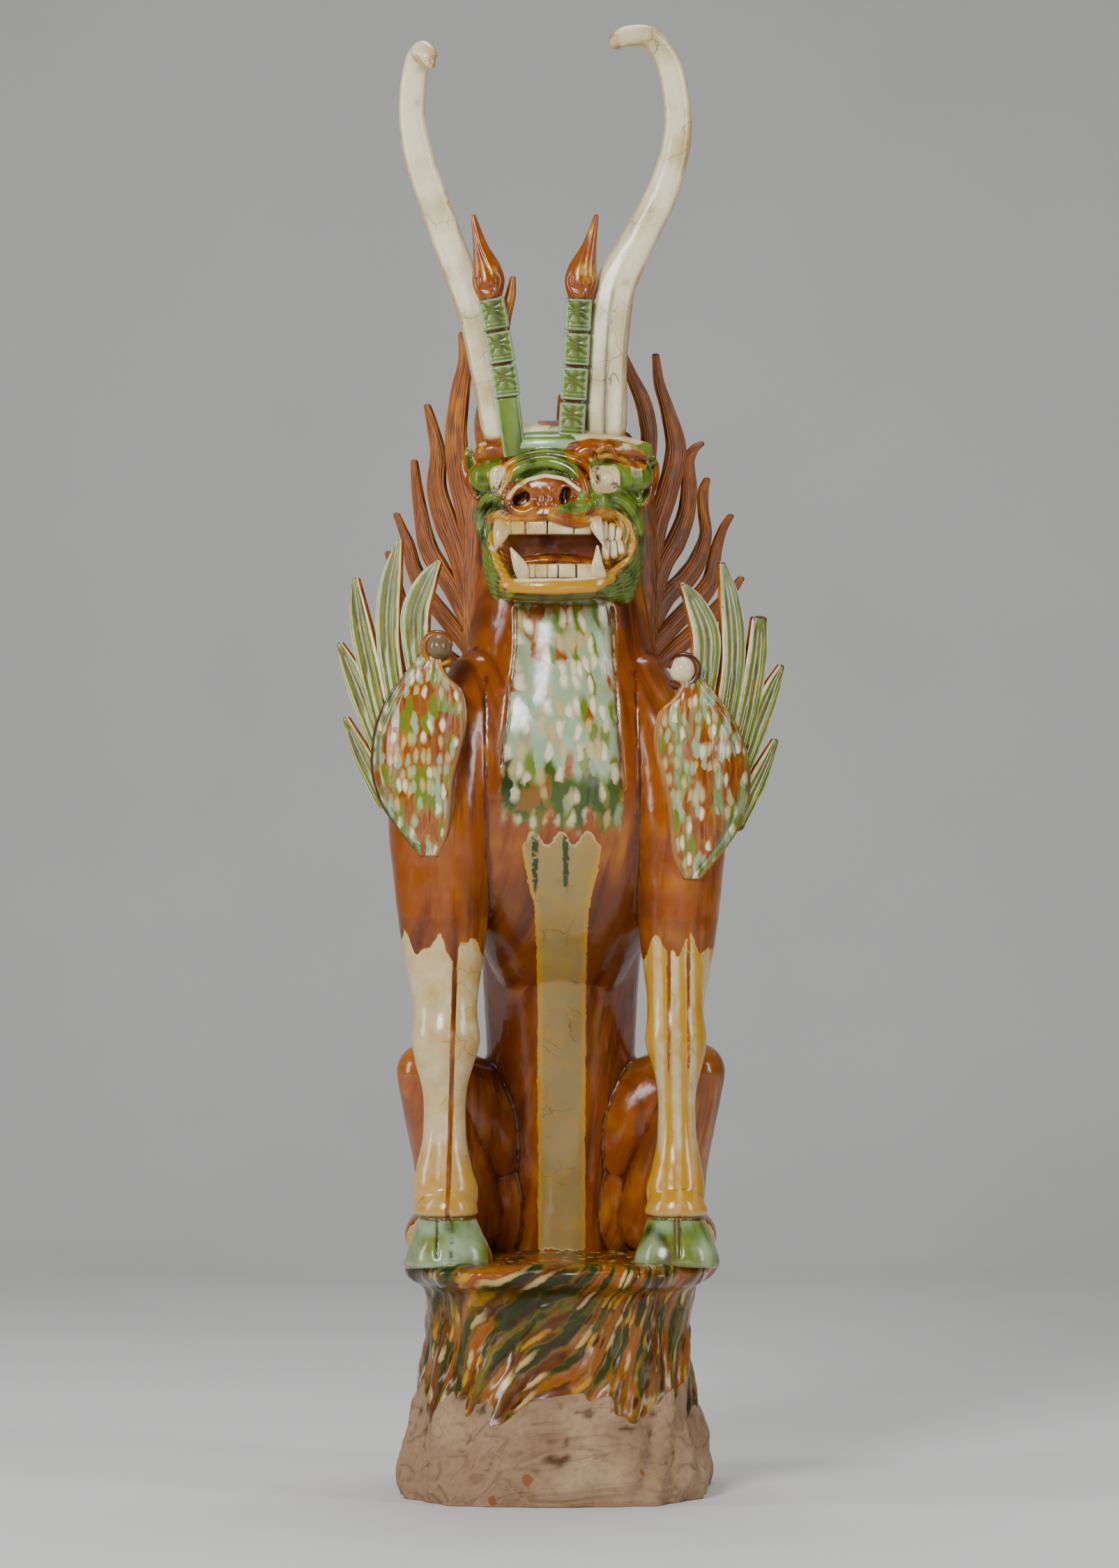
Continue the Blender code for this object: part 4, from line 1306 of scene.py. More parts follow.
    def skull(self, shell: Shell) -> None:
        """Skull, forehead, upper jaw, bridge and eye plane.

        Args:
            shell: The shell to add to.
        """
        ball(shell, (0, 4, 14), (61, 60, 62), self.place)
        forehead = [(0, 0, 52, 54, 30), (0, -34, 54, 52, 28), (0, -58, 50, 44, 22), (0, -66, 44, 36, 16)]
        muzzle = [
            (0, 0, 12, 60, 30), (0, -40, 14, 58, 28), (-1, -72, 12, 50, 22), (-2, -86, 10, 43, 13),
            (-2, -92, 9, 37, 9),
        ]
        bridge = [(-2, -50, 42, 30, 16), (-3, -70, 37, 26, 12), (-3, -84, 30, 20, 8)]
        for rows, corner in ((forehead, 3.2), (muzzle, 2.9), (bridge, 2.0)):
            Limb(rows, front=UP, corner=corner, place=self.place).into(shell)
        Limb(self.SOCKETS, corner=2.6).into(shell)
        Limb(self.SHELF, corner=2.6).into(shell)

    def jaw(self, shell: Shell) -> None:
        """Lower jaw, throat and cheeks.

        Args:
            shell: The shell to add to.
        """
        jaw = [(0, 10, -40, 52, 30), (0, -30, -54, 54, 17), (0, -66, -58, 46, 12), (0, -84, -60, 38, 9)]
        Limb(jaw, front=UP, corner=2.9, place=self.place).into(shell)
        ball(shell, (0, 2, -30), (56, 42, 46), self.place)
        for side in (-1, 1):
            ball(shell, (side * 50, -20, -14), (17, 44, 56), self.place)

    def relief(self, points: Array, normals: Array) -> Array:
        """Nostrils, eye and ear hollows and the brushed lines of the cheeks.

        Args:
            points: The skin's points, in metres.
            normals: Their normals.

        Returns:
            The height in millimetres at each point.
        """
        x, y, z = (points / MM).T
        at = np.stack([x, z], axis=1)
        height = 0.22 * ripple(points, 0.03, 21)
        front = normals[:, 1] < -0.1
        for path in self.NOSTRILS:
            distance, _ = along_path(at, np.array(path))
            height -= 9 * front * (y < -100) * soft_step(5.0, 1.5, distance)
        for path, reach in self.EYE_HOLLOWS:
            distance, _ = along_path(at, np.array(path))
            hollow = 1.8 * soft_step(reach, reach - 2.5, distance) + 0.9 * bell(distance, reach, 1.2)
            height -= front * (y < -55) * hollow
        for ear in self.EARS:
            line = np.array(ear)[:, [0, 2]]
            distance, share = along_path(at, line)
            height -= 4 * front * (y > -66) * soft_step(5.0, 1.0, distance) * soft_step(0.95, 0.7, share)
        cheek = soft_step(36, 44, np.abs(x)) * soft_step(826, 816, z) * front
        rings = np.hypot(x - np.sign(x) * 34, z - 788)
        height += 0.35 * cheek * np.sin(rings * 2 * math.pi / 3.4 + 1.5 * ripple(points, 0.04, 22))
        return height

    def paint(self, points: Array, normals: Array) -> Paint:
        """Where each glaze lies on the head.

        Args:
            points: The skin's points, in metres.
            normals: Their normals.

        Returns:
            The masks at each point.
        """
        x, y, z = (points / MM).T
        at = np.stack([x, z], axis=1)
        front = soft_step(-14, -30, y + 6 * ripple(points, 0.05, 23))
        paint = {mask: np.zeros(len(points)) for mask in Mask}
        paint[Mask.GREEN] = front.copy()
        paint[Mask.PALE] = 0.3 * soft_step(-0.2, 0.9, ripple(points, 0.05, 24)) * front
        olive = soft_step(-0.2, 0.9, ripple(points, 0.04, 25)) * soft_step(30, 50, np.abs(x))
        paint[Mask.GREEN] -= 0.42 * olive * front
        paint[Mask.CREAM] += 0.5 * front
        paint[Mask.OCHRE] += 0.8 * front
        for zone in self.ZONES:
            distance, _ = along_path(at, np.array(zone.path, float))
            share = soft_step(zone.reach + 1.5, zone.reach - 1.5, distance) * (y < -46)
            for mask, value in zone.values.items():
                paint[mask] = paint[mask] * (1 - share) + value * share
        for ear in self.EARS:
            distance, _ = along_path(at, np.array(ear)[:, [0, 2]])
            near = (np.abs(x) > 66) * (y > -70) * soft_step(11, 9, distance)
            inner = soft_step(3.6, 2.6, distance) * (normals[:, 1] < -0.2)
            paint[Mask.GREEN] = paint[Mask.GREEN] * (1 - near) + near * inner
            paint[Mask.CREAM] = paint[Mask.CREAM] * (1 - near) + 0.3 * near
        # Painted shade in the nostril holes
        for path in self.NOSTRILS:
            distance, _ = along_path(at, np.array(path))
            paint[Mask.CUT] = np.maximum(paint[Mask.CUT], 0.9 * soft_step(5, 3, distance) * (y < -95))
        return paint

    def build(self) -> bpy.types.Object:
        """Shape and paint the head.

        Returns:
            The mesh object.
        """
        shell = Shell()
        self.skull(shell)
        self.jaw(shell)
        for forms in (self.ROLLS, self.NOSE, self.BROWS, self.FOLDS, self.EARS, self.TONGUE):
            for rows in forms:
                Limb(rows, sides=20).into(shell)
        for rows in (*self.GUMS, *self.LIPS):
            Limb(rows, corner=3.2, sides=24).into(shell)
        obj = fused(shell, "head", 0.0011, 6)
        carve(obj, self.relief)
        points, normals = points_of(obj)
        flow = np.stack([points[:, 0] + 0.5 * points[:, 1], points[:, 2], points[:, 1]], axis=1)
        dress(obj, flow, self.paint(points, normals))
        return obj


@dataclass
class Teeth:
    """Two rows of square teeth, four fangs, the molars of the open corner, and the eyes."""

    UPPER = ((-50.9, -96), (-38.4, -103), (-27.7, -108), (-10.7, -110), (10.2, -108), (23.7, -103))
    UPPER_Z = 792.0
    LOWER = ((-27.7, -98), (-19.2, -102), (-9.6, -105), (-1.7, -107), (12.4, -107), (27.7, -102))
    LOWER_Z = 756.7
    HALF_HEIGHT = 5.8
    GAP = 0.45
    FANGS = (
        ((-46.9, -101, 796, 7, 4), (-48.6, -105, 786.8, 6.5, 4), (-51.4, -106, 778.3, 3, 3),
         (-53.1, -105, 773.2, 1, 1)),
        ((27.7, -106, 798.1, 6, 4), (29.9, -109, 790, 4.6, 4), (32.7, -109, 783.3, 2.6, 3),
         (35, -108, 777.6, 1, 1)),
        ((-30, -103, 751.3, 5, 4), (-32.2, -107, 759.1, 6, 4), (-36.1, -108, 766.9, 4, 3),
         (-40.1, -107, 774.9, 1, 1)),
        ((31.1, -105, 752.9, 6.5, 4), (29.9, -109, 760.7, 5, 4), (29.9, -109, 768.6, 3, 3),
         (29.9, -108, 776.5, 1, 1)),
    )
    MOLARS = (
        ((35.1, -97, 795.1, 3.2, 4), (35.1, -97, 784.9, 3, 4)),
        ((41.3, -92, 793.6, 3.2, 4), (40.8, -92, 783.9, 3, 4)),
        ((47.6, -89, 790.9, 3, 4), (46.5, -89, 782.9, 2.6, 4)),
        ((36.2, -97, 767.9, 3.2, 4), (36.8, -97, 779.2, 3, 4)),
        ((43, -92, 769.8, 3.2, 4), (42.5, -92, 779.4, 3, 4)),
        ((49.3, -89, 772.7, 3, 4), (48.2, -89, 780.1, 2.6, 4)),
    )
    EYES = (((-50.5, -80, 831), (4.5, 5, 6.5)), ((37, -87, 832.5), (6.5, 6, 6.5)))

    def tooth(self, shell: Shell, rows: Rows, corner: float) -> None:
        """Add one tooth, stained a little where it meets the gum.

        Args:
            shell: The shell to add to.
            rows: Its stations from gum to edge.
            corner: How square its section is.
        """

        def paint(u: Array, v: Array, t: Array) -> Paint:
            """Cream, yellower at the gum."""
            return {Mask.CREAM: 1.0, Mask.OCHRE: 0.42 + 0.4 * soft_step(0.35, 0, t)}

        Limb(rows, corner=corner, sides=24, steps=5).into(shell, paint)

    def build(self) -> bpy.types.Object:
        """Shape the teeth and the eyes.

        Returns:
            The mesh object.
        """
        shell = Shell()
        for edges, z in ((self.UPPER, self.UPPER_Z), (self.LOWER, self.LOWER_Z)):
            for (x1, y1), (x2, y2) in zip(edges, edges[1:]):
                ends = ((x1 + self.GAP, y1), (x2 - self.GAP, y2))
                block = Limb([(x, y, z, self.HALF_HEIGHT, 4.5) for x, y in ends], corner=4.5, domed=False)
                block.into(shell, evenly({Mask.CREAM: 1.0, Mask.OCHRE: 0.5}))
        for rows in self.FANGS:
            self.tooth(shell, rows, 2.2)
        for rows in self.MOLARS:
            self.tooth(shell, rows, 3.6)
        for centre, halves in self.EYES:
            ball(shell, centre, halves, None, {Mask.CREAM: 1.0, Mask.OCHRE: 0.4})
        return shell.build("teeth_and_eyes")


@dataclass
class Horn:
    """One long cream horn, the studded green strip on its inner front, and the flame bud over the strip."""

    name: str
    stations: Rows
    strip: Rows
    plain_share: float
    studs: int
    lean: float
    facets: float
    chip: float

    # The small flame that shows behind the left strip
    SPUR = ((-50, -76, 930, 6, 7), (-46, -75, 962, 5.5, 6), (-41, -76, 982, 4.5, 5), (-39, -78, 996, 2.5, 3))

    def horn(self, shell: Shell) -> None:
        """The horn itself, with soft facets at its root.

        Args:
            shell: The shell to add to.
        """

        def relief(u: Array, v: Array, t: Array) -> Array:
            """Soft facets at the root, and small unevenness."""
            angle = np.arctan2(v, u)
            at = np.stack([u, v, 14 * t], axis=-1)
            return self.facets * np.cos(8 * angle) * soft_step(0.5, 0.2, t) + 0.25 * ripple(at, 1.5, 31)

        def paint(u: Array, v: Array, t: Array) -> Paint:
            """Cream with yellow edges, stains and one worn chip."""
            root = soft_step(0.06, 0.03, t)
            stain = 0.1 * (1 + ripple(np.stack([2 * u, 2 * v, 9 * t], axis=-1), 3.0, 33, 2))
            worn = bell(t, self.chip, 0.012) * bell(u, 0.45, 0.3) * (v > 0)
            edge = 0.45 * bell(np.abs(u), 1, 0.2) + root + stain
            return {Mask.CREAM: 1 - 0.6 * root, Mask.OCHRE: edge, Mask.WORN: 0.7 * worn}

        Limb(self.stations, corner=2.6, sides=48, steps=12, relief=relief).into(shell, paint)

    def studded(self, shell: Shell) -> None:
        """The strip: square studs cut with a star, over a plain green foot.

        Args:
            shell: The shell to add to.
        """

        def parts(t: Array) -> tuple[Array, Array]:
            """Which stud a point is on, and how far up it, from -1 to 1."""
            place = (t - self.plain_share) / (1 - self.plain_share) * self.studs
            return place, 2 * (place - np.floor(place)) - 1

        def star(u: Array, up: Array) -> Array:
            """The star's rays, with the hatched band under them."""
            across, high = 0.58 * u, up - 0.22
            rays = [np.abs(across - high), np.abs(across + high), 1.2 * np.abs(high), 1.2 * np.abs(across)]
            hatch = np.exp(-((np.minimum.reduce(rays) / 0.085) ** 2)) * soft_step(-0.5, -0.38, up)
            return hatch + soft_step(-0.42, -0.5, up) * bell(np.cos(26 * up), 1, 0.5)

        def relief(u: Array, v: Array, t: Array) -> Array:
            """Raised studs with their stars, and the gaps between them."""
            place, up = parts(t)
            inside = (place > 0) * soft_step(0.94, 0.86, np.abs(up)) * (v > 0)
            gap = soft_step(0.90, 1.0, np.abs(up)) * (place > 0)
            return inside * (1.2 - 1.1 * star(u, up) * soft_step(0.9, 0.75, np.abs(u))) - 3.2 * gap

        def paint(u: Array, v: Array, t: Array) -> Paint:
            """Green, paler on rims and dark in cuts."""
            place, up = parts(t)
            stud = (place > 0) * (v > 0)
            gap = soft_step(0.90, 0.97, np.abs(up)) * (place > 0)
            rim = np.maximum(bell(np.abs(u), 0.95, 0.14), bell(np.abs(up), 0.84, 0.07) * stud) * (v > 0)
            # The star cuts and the gaps between studs darken: pooled glaze and painted shade
            cut = stud * star(u, up) * (1 - rim)
            return {
                Mask.GREEN: 1 - gap,
                Mask.CUT: 0.55 * cut + gap,
                Mask.PALE: 0.18 + 0.15 * stud + 0.5 * rim - cut,
            }

        rows = [(x, y, z, 9.5, 10) for x, y, z in self.strip]
        Limb(rows, corner=5.0, sides=88, steps=48, relief=relief, domed=False).into(shell, paint)

    def bud(self, shell: Shell) -> None:
        """The amber flame bud, cut by two curved lines.

        Args:
            shell: The shell to add to.
        """
        x, y, z = self.strip[-1]
        lean = self.lean
        rows = [
            (x, y, z - 4, 8, 8),
            (x + 0.1 * lean, y, z + 10, 13, 11),
            (x + 0.2 * lean, y, z + 22, 12, 10),
            (x + 0.6 * lean, y, z + 42, 6, 6),
            (x + lean, y, z + 66, 2, 2),
        ]

        def relief(u: Array, v: Array, t: Array) -> Array:
            """The two curved lines and the cleft at the foot."""
            fold = bell(u, 0.55 - 1.1 * t, 0.10) * soft_step(0.12, 0.2, t) * soft_step(0.9, 0.6, t)
            crescent = bell(np.hypot(u + 0.1, 7 * (t - 0.30)), 0.62, 0.14) * (t < 0.34)
            cleft = bell(u, 0.05, 0.14) * soft_step(0.16, 0.02, t)
            return -1.5 * (v > 0) * (fold + crescent + cleft)

        Limb(rows, sides=48, steps=12, relief=relief).into(shell, evenly({Mask.CREAM: 0.34}))

    def build(self) -> bpy.types.Object:
        """Shape the horn with its strip and bud.

        Returns:
            The mesh object.
        """
        shell = Shell()
        self.horn(shell)
        self.studded(shell)
        self.bud(shell)
        if self.lean < 0:
            Limb(self.SPUR, steps=8).into(shell)
        return shell.build(self.name)


@dataclass
class Wing:
    """One wing: a curled shield wrapped round the shoulder, and a fan of ribbed feathers swept back."""

    side: int
    lift: float = 0.009
    sweep: float = math.radians(36)
    root: Vector = field(default_factory=lambda: Vector((0.075, -0.122, 0.0)))

    SHIELD = (
        (516, 99, 114, -8), (535, 91, 130, -5), (556, 88, 145, 0), (580, 86, 154, 2), (600, 81, 155, 3),
        (620, 76, 152, 4), (638, 76, 145, 4), (652, 80, 137, 4), (662, 90, 129, 4), (672, 96, 121, 3),
        (682, 97, 114, 2),
    )
    SHOULDER_X = 92
    SHOULDER_Y = -50
    SHOULDER_HALVES = (67, 55)
    THICK = 22
    CURL = (99, -99, 686)
    FEATHERS = (
        ((112, 655, 18), (117, 690, 22), (117, 716, 23), (108, 740, 16), (99, 754, 5)),
        ((132, 640, 18), (139, 685, 19), (140, 716, 20), (137, 745, 16), (131, 772, 5)),
        ((144, 625, 18), (154, 665, 19), (162, 700, 18), (166, 726, 12), (167, 742, 5)),
        ((146, 605, 16), (160, 642, 19), (171, 668, 15), (180, 689, 5)),
        ((142, 560, 14), (158, 592, 16), (168, 612, 11), (175, 628, 5)),
    )
    BROKEN = ((144, 625, 18), (154, 665, 19), (160, 700, 17), (162, 728, 13))

    def shield(self, shell: Shell, mirror: Matrix) -> None:
        """The shield, with a double rim along its outer edge and drops of glaze.

        Args:
            shell: The shell to add to.
            mirror: The frame of this side.
        """
        rows = spline(self.SHIELD, 12)
        spread = 72
        share = np.linspace(0, 1, spread)
        z, inner, outer, proud = (rows[:, k, None] for k in range(4))
        x = inner + (outer - inner) * share
        turn = np.clip(np.abs((x - self.SHOULDER_X) / self.SHOULDER_HALVES[0]), 0, 1)
        y = self.SHOULDER_Y - self.SHOULDER_HALVES[1] * np.sqrt(1 - turn**2) - proud
        z = np.broadcast_to(z, x.shape)
        width = outer - inner
        edge = (outer - x) * np.ones_like(x)
        inner_edge = x - inner
        rim = bell(edge, 4, 1.4) + bell(edge, 9.5, 1.4)
        lip = bell(inner_edge, 2.5, 2.0)
        at = np.stack([x / 5, z / 26, 0 * x], axis=-1)
        marks = ripple(at, 2.2, 40 + self.side)
        puff = 3.0 * np.sin(math.pi * share) * soft_step(0, 30, width)
        y = y - puff + 1.1 * rim - 0.9 * lip - 0.45 * marks
        front = np.stack([x, y, z], axis=-1)
        back = front[:, ::-1] + np.array([0, self.THICK, 0])
        rings = MM * np.concatenate([front, back], axis=1)
        flow = np.concatenate([front[..., [0, 2, 1]], back[..., [0, 2, 1]]], axis=1) * MM + self.side * 0.3
        inside = soft_step(1, 5, edge) * soft_step(3, 6, inner_edge)
        green = 0.5 * inside * (0.5 + ripple(at, 5, 50 + self.side, 1)) + 0.5 * soft_step(14, 6, edge)
        face = {
            Mask.SPLASH: inside,
            Mask.GREEN: green,
            Mask.PALE: 0.45 * inside,
            # Dark rim grooves and dents: pooled glaze and painted shade
            Mask.CUT: 0.3 * rim + 0.2 * soft_step(0.3, -1.2, marks),
            Mask.WORN: np.maximum(0.3 * soft_step(0.6, 1.4, marks), 0.6 * lip),
        }
        paint = {mask: np.concatenate([values, 0 * values], axis=1) for mask, values in face.items()}
        shell.add(placed(rings, mirror), flow, paint)

    def curl(self, shell: Shell, mirror: Matrix) -> None:
        """The curl over the shield: a pale knob in a rolled amber rim.

        Args:
            shell: The shell to add to.
            mirror: The frame of this side.
        """
        ball(shell, self.CURL, (11, 18, 12), mirror, {Mask.CREAM: 1.0, Mask.OCHRE: 0.35})
        turns = np.linspace(-0.6, 4.4, 22)
        x, y, z = self.CURL
        rows = []
        for k, angle in enumerate(turns):
            reach = 14.5 - 0.25 * k
            rows.append((x + reach * math.sin(angle) * 0.95, y - 3, z - reach * math.cos(angle), 3.6, 7))
        Limb(rows, sides=24, steps=3, place=mirror).into(shell)
        neck = [(x + 2, y + 4, z - 26, 9, 9), (x + 1, y + 2, z - 14, 7, 9), (x, y + 2, z - 4, 9, 10)]
        Limb(neck, sides=28, place=mirror).into(shell, evenly({Mask.CREAM: 0.55, Mask.OCHRE: 0.5}))

    def feather(self, shell: Shell, stations: Rows, place: Matrix, tag: int) -> None:
        """One feather: brown in its thickness, green in front, with pale incised lines.

        Args:
            shell: The shell to add to.
            stations: x, z and width along it, in millimetres.
            place: The frame of the fan.
            tag: Its number in the fan.
        """
        last = len(stations) - 1
        rows = [(x, 0, z, w / 2, 5.5 * (1 - 0.45 * k / last)) for k, (x, z, w) in enumerate(stations)]

        def relief(u: Array, v: Array, t: Array) -> Array:
            """Incised lines in a slightly hollow face."""
            lines = bell(u, -0.35, 0.07) + bell(u, 0.30, 0.07) + bell(u, 0.0, 0.06) * soft_step(0.3, 0.4, t)
            hollow = 0.8 * (1 - u**2)
            return (v > 0) * soft_step(0.98, 0.85, t) * (-0.9 * lines - hollow)

        def paint(u: Array, v: Array, t: Array) -> Paint:
            """Green in front, with worn lines and a yellow edge."""
            face = (v > 0.5) * 1.0
            lines = bell(u, -0.35, 0.09) + bell(u, 0.30, 0.09)
            edge = bell(np.abs(u), 0.92, 0.12)
            light = 0.04 + 0.2 * (tag < 2) + 0.2 * soft_step(0.5, 0.95, t)
            return {
                Mask.GREEN: face * (0.66 - 0.5 * edge),
                Mask.PALE: face * light * soft_step(0.0, 0.3, t),
                Mask.CREAM: face * (0.6 + 0.2 * edge),
                Mask.OCHRE: face * (0.6 - 0.2 * edge),
                Mask.WORN: face * 0.6 * lines,
            }

        Limb(rows, corner=3.6, sides=80, steps=15, place=place, relief=relief).into(shell, paint, tag)

    def build(self) -> bpy.types.Object:
        """Shape the wing.

        Returns:
            The mesh object.
        """
        drop = -self.side * self.lift
        mirror = Matrix.Translation((0, 0, drop)) @ Matrix.Diagonal((self.side, 1, 1, 1))
        shell = Shell()
        self.shield(shell, mirror)
        self.curl(shell, mirror)
        place = fan_place(self.side, self.root + Vector((0, 0, drop)), self.sweep)
        for k, stations in enumerate(self.FEATHERS):
            is_broken = self.side > 0 and k == 2
            self.feather(shell, self.BROKEN if is_broken else stations, place, k)
        return shell.build("right_wing" if self.side > 0 else "left_wing")


@dataclass
class Mane:
    """One side of the mane: a combed web along the neck and the tongues of flame that leave it."""

    side: int
    tongues: Sequence[Rows]
    root: Vector = field(default_factory=lambda: Vector((0.070, 0.014, 0.0)))
    sweep: float = math.radians(30)
    thick: float = 11.0

    WEB = (
        (54, 0, 620, 14, 6),
        (60, 0, 680, 20, 7),
        (62, 0, 760, 20, 7),
        (58, 0, 830, 18, 7),
        (48, 4, 870, 12, 6),
    )

    def combed(self, rows: Rows, place: Matrix, strands: float, shell: Shell, tag: int) -> None:
        """Add a form whose surface is combed along its run.

        Args:
            rows: Its stations.
            place: The frame of the fan.
            strands: Combed strands across half of it.
            shell: The shell to add to.
            tag: Its number in the fan.
        """

        def comb(u: Array, v: Array, t: Array) -> Array:
            """The strands' wave, bent a little along the run."""
            at = np.stack([u, 9 * t, 0 * t], axis=-1)
            return np.cos(math.pi * (strands * (u + 0.10 * ripple(at, 2.6, 60 + tag, 2)) + 0.5))

        def relief(u: Array, v: Array, t: Array) -> Array:
            """Round strands with narrow grooves between."""
            return (0.9 * np.abs(comb(u, v, t)) ** 0.6 - 0.7) * soft_step(1.0, 0.93, t)

        def paint(u: Array, v: Array, t: Array) -> Paint:
            """Dark grooves and worn ridges."""
            # Dark in the grooves between strands: pooled glaze and painted shade
            ridge = np.abs(comb(u, v, t))
            return {Mask.CUT: soft_step(0.45, 0.1, ridge), Mask.WORN: 0.35 * soft_step(0.75, 1.0, ridge)}

        Limb(rows, corner=2.6, sides=80, steps=12, place=place, relief=relief).into(shell, paint, tag)

    def build(self) -> bpy.types.Object:
        """Shape this side of the mane.

        Returns:
            The mesh object.
        """
        place = fan_place(self.side, self.root, self.sweep)
        shell = Shell()
        self.combed(self.WEB, place, 7, shell, 9)
        for k, stations in enumerate(self.tongues):
            last = len(stations) - 1
            rows = [
                (x, 0, z, w / 2, self.thick / 2 * (1 - 0.45 * i / last))
                for i, (x, z, w) in enumerate(stations)
            ]
            self.combed(rows, place, 4, shell, k)
        return shell.build("right_mane" if self.side > 0 else "left_mane")


LEFT_HORN = Horn(
    name="left_horn",
    stations=(
        (-50, -66, 868, 13, 14),
        (-52, -70, 884, 14, 16),
        (-59, -72, 915, 13, 16),
        (-70, -74, 966, 13, 15),
        (-81, -74, 998, 13, 14),
        (-92, -74, 1028, 13, 14),
        (-105, -76, 1064, 12.5, 13),
        (-116, -79, 1098, 12, 12),
        (-121, -84, 1132, 11, 11),
        (-118, -94, 1164, 10.5, 10.5),
        (-113, -110, 1176, 9.5, 9.5),
        (-108, -122, 1173, 8.5, 8.5),
        (-106, -127, 1166, 5, 5),
    ),
    strip=((-37, -80, 852), (-40, -83, 874), (-44, -85, 906), (-49, -86, 938), (-57, -88, 980)),
    plain_share=0.36,
    studs=3,
    lean=-14,
    facets=0.4,
    chip=0.80,
)
RIGHT_HORN = Horn(
    name="right_horn",
    stations=(
        (36, -66, 868, 16, 14),
        (36, -70, 884, 17.5, 16),
        (37, -72, 926, 16.5, 16),
        (40, -74, 966, 17, 15),
        (47, -74, 996, 16, 14),
        (67, -74, 1034, 14, 14),
        (86, -76, 1074, 13, 13),
        (95, -80, 1112, 11.5, 12),
        (94, -84, 1144, 11, 11),
        (87, -91, 1172, 10, 10),
        (72, -100, 1190, 9, 9),
        (55, -108, 1190, 8.5, 8.5),
        (46, -112, 1186, 7, 7),
    ),
    strip=((8, -80, 852), (9, -83, 874), (11, -85, 906), (13, -86, 938), (15, -88, 980)),
    plain_share=0.12,
    studs=4,
    lean=14,
    facets=0.8,
    chip=0.36,
)
LEFT_MANE = Mane(
    side=-1,
    tongues=(
        ((62, 850, 9), (66, 878, 9), (66, 895, 6), (65, 908, 4)),
        ((66, 700, 20), (71, 771, 19), (76, 806, 20), (84, 841, 19),
         (87, 876, 18), (83, 912, 15), (79, 936, 11), (82, 958, 5)),
        ((66, 700, 18), (84, 771, 16), (95, 801, 19), (103, 830, 16),
         (102, 859, 12), (107, 884, 8), (111, 899, 5)),
        ((66, 700, 14), (90, 746, 14), (101, 764, 16), (111, 783, 15),
         (116, 807, 11), (120, 833, 8), (122, 853, 5)),
        ((66, 685, 14), (97, 724, 13), (113, 744, 13), (122, 764, 12),
         (127, 784, 9), (132, 797, 6), (137, 809, 5)),
        ((66, 670, 14), (105, 698, 12), (123, 716, 12), (134, 738, 10), (139, 762, 7), (144, 777, 5)),
    ),
)
RIGHT_MANE = Mane(
    side=1,
    tongues=(
        ((66, 790, 13), (73, 862, 12), (72, 886, 13), (67, 905, 12), (59, 922, 9), (53, 938, 5)),
        ((66, 700, 18), (75, 771, 17), (80, 800, 17), (88, 824, 17),
         (96, 862, 17), (89, 895, 11), (82, 917, 8), (79, 940, 5)),
        ((66, 700, 18), (83, 761, 15), (95, 784, 16), (104, 807, 14),
         (107, 831, 12), (106, 852, 10), (111, 863, 7), (117, 868, 5)),
        ((66, 700, 16), (87, 738, 15), (104, 755, 17), (115, 772, 14),
         (121, 793, 9), (119, 813, 8), (119, 828, 8), (122, 838, 5)),
        ((66, 685, 16), (95, 718, 15), (113, 736, 16), (125, 753, 14),
         (128, 770, 10), (131, 784, 8), (136, 798, 6), (142, 808, 5)),
        ((66, 670, 14), (104, 704, 14), (122, 720, 14), (137, 738, 10), (145, 748, 7), (151, 756, 5)),
    ),
)


CHEST_SPLASHES = Splashes(
    run=(9.0, 24.0),
    run_tints=(Tint.RUST.value, Tint.CELADON.value, Tint.LEAF.value),
    run_cover=0.62,
    drop=(8.0, 18.0),
    drop_tints=(Tint.CREAM.value, Tint.CREAM.value, Tint.STAIN.value),
    drop_cover=0.62,
)
ROCK_SPLASHES = Splashes(
    run=(10.0, 62.0),
    run_tints=(Tint.MOSS.value, Tint.RUST.value, Tint.MOSS.value),
    run_cover=0.8,
    drop=(6.5, 17.0),
    drop_tints=(Tint.STAIN.value, Tint.DEEP.value, Tint.OCHRE.value),
    drop_cover=0.3,
)
WING_SPLASHES = Splashes(
    run=(6.5, 20.0),
    run_tints=(Tint.LEAF.value, Tint.RUST.value, Tint.CELADON.value),
    run_cover=0.8,
    drop=(5.2, 13.0),
    drop_tints=(Tint.CREAM.value, Tint.STAIN.value, Tint.CELADON.value),
    drop_cover=0.5,
)


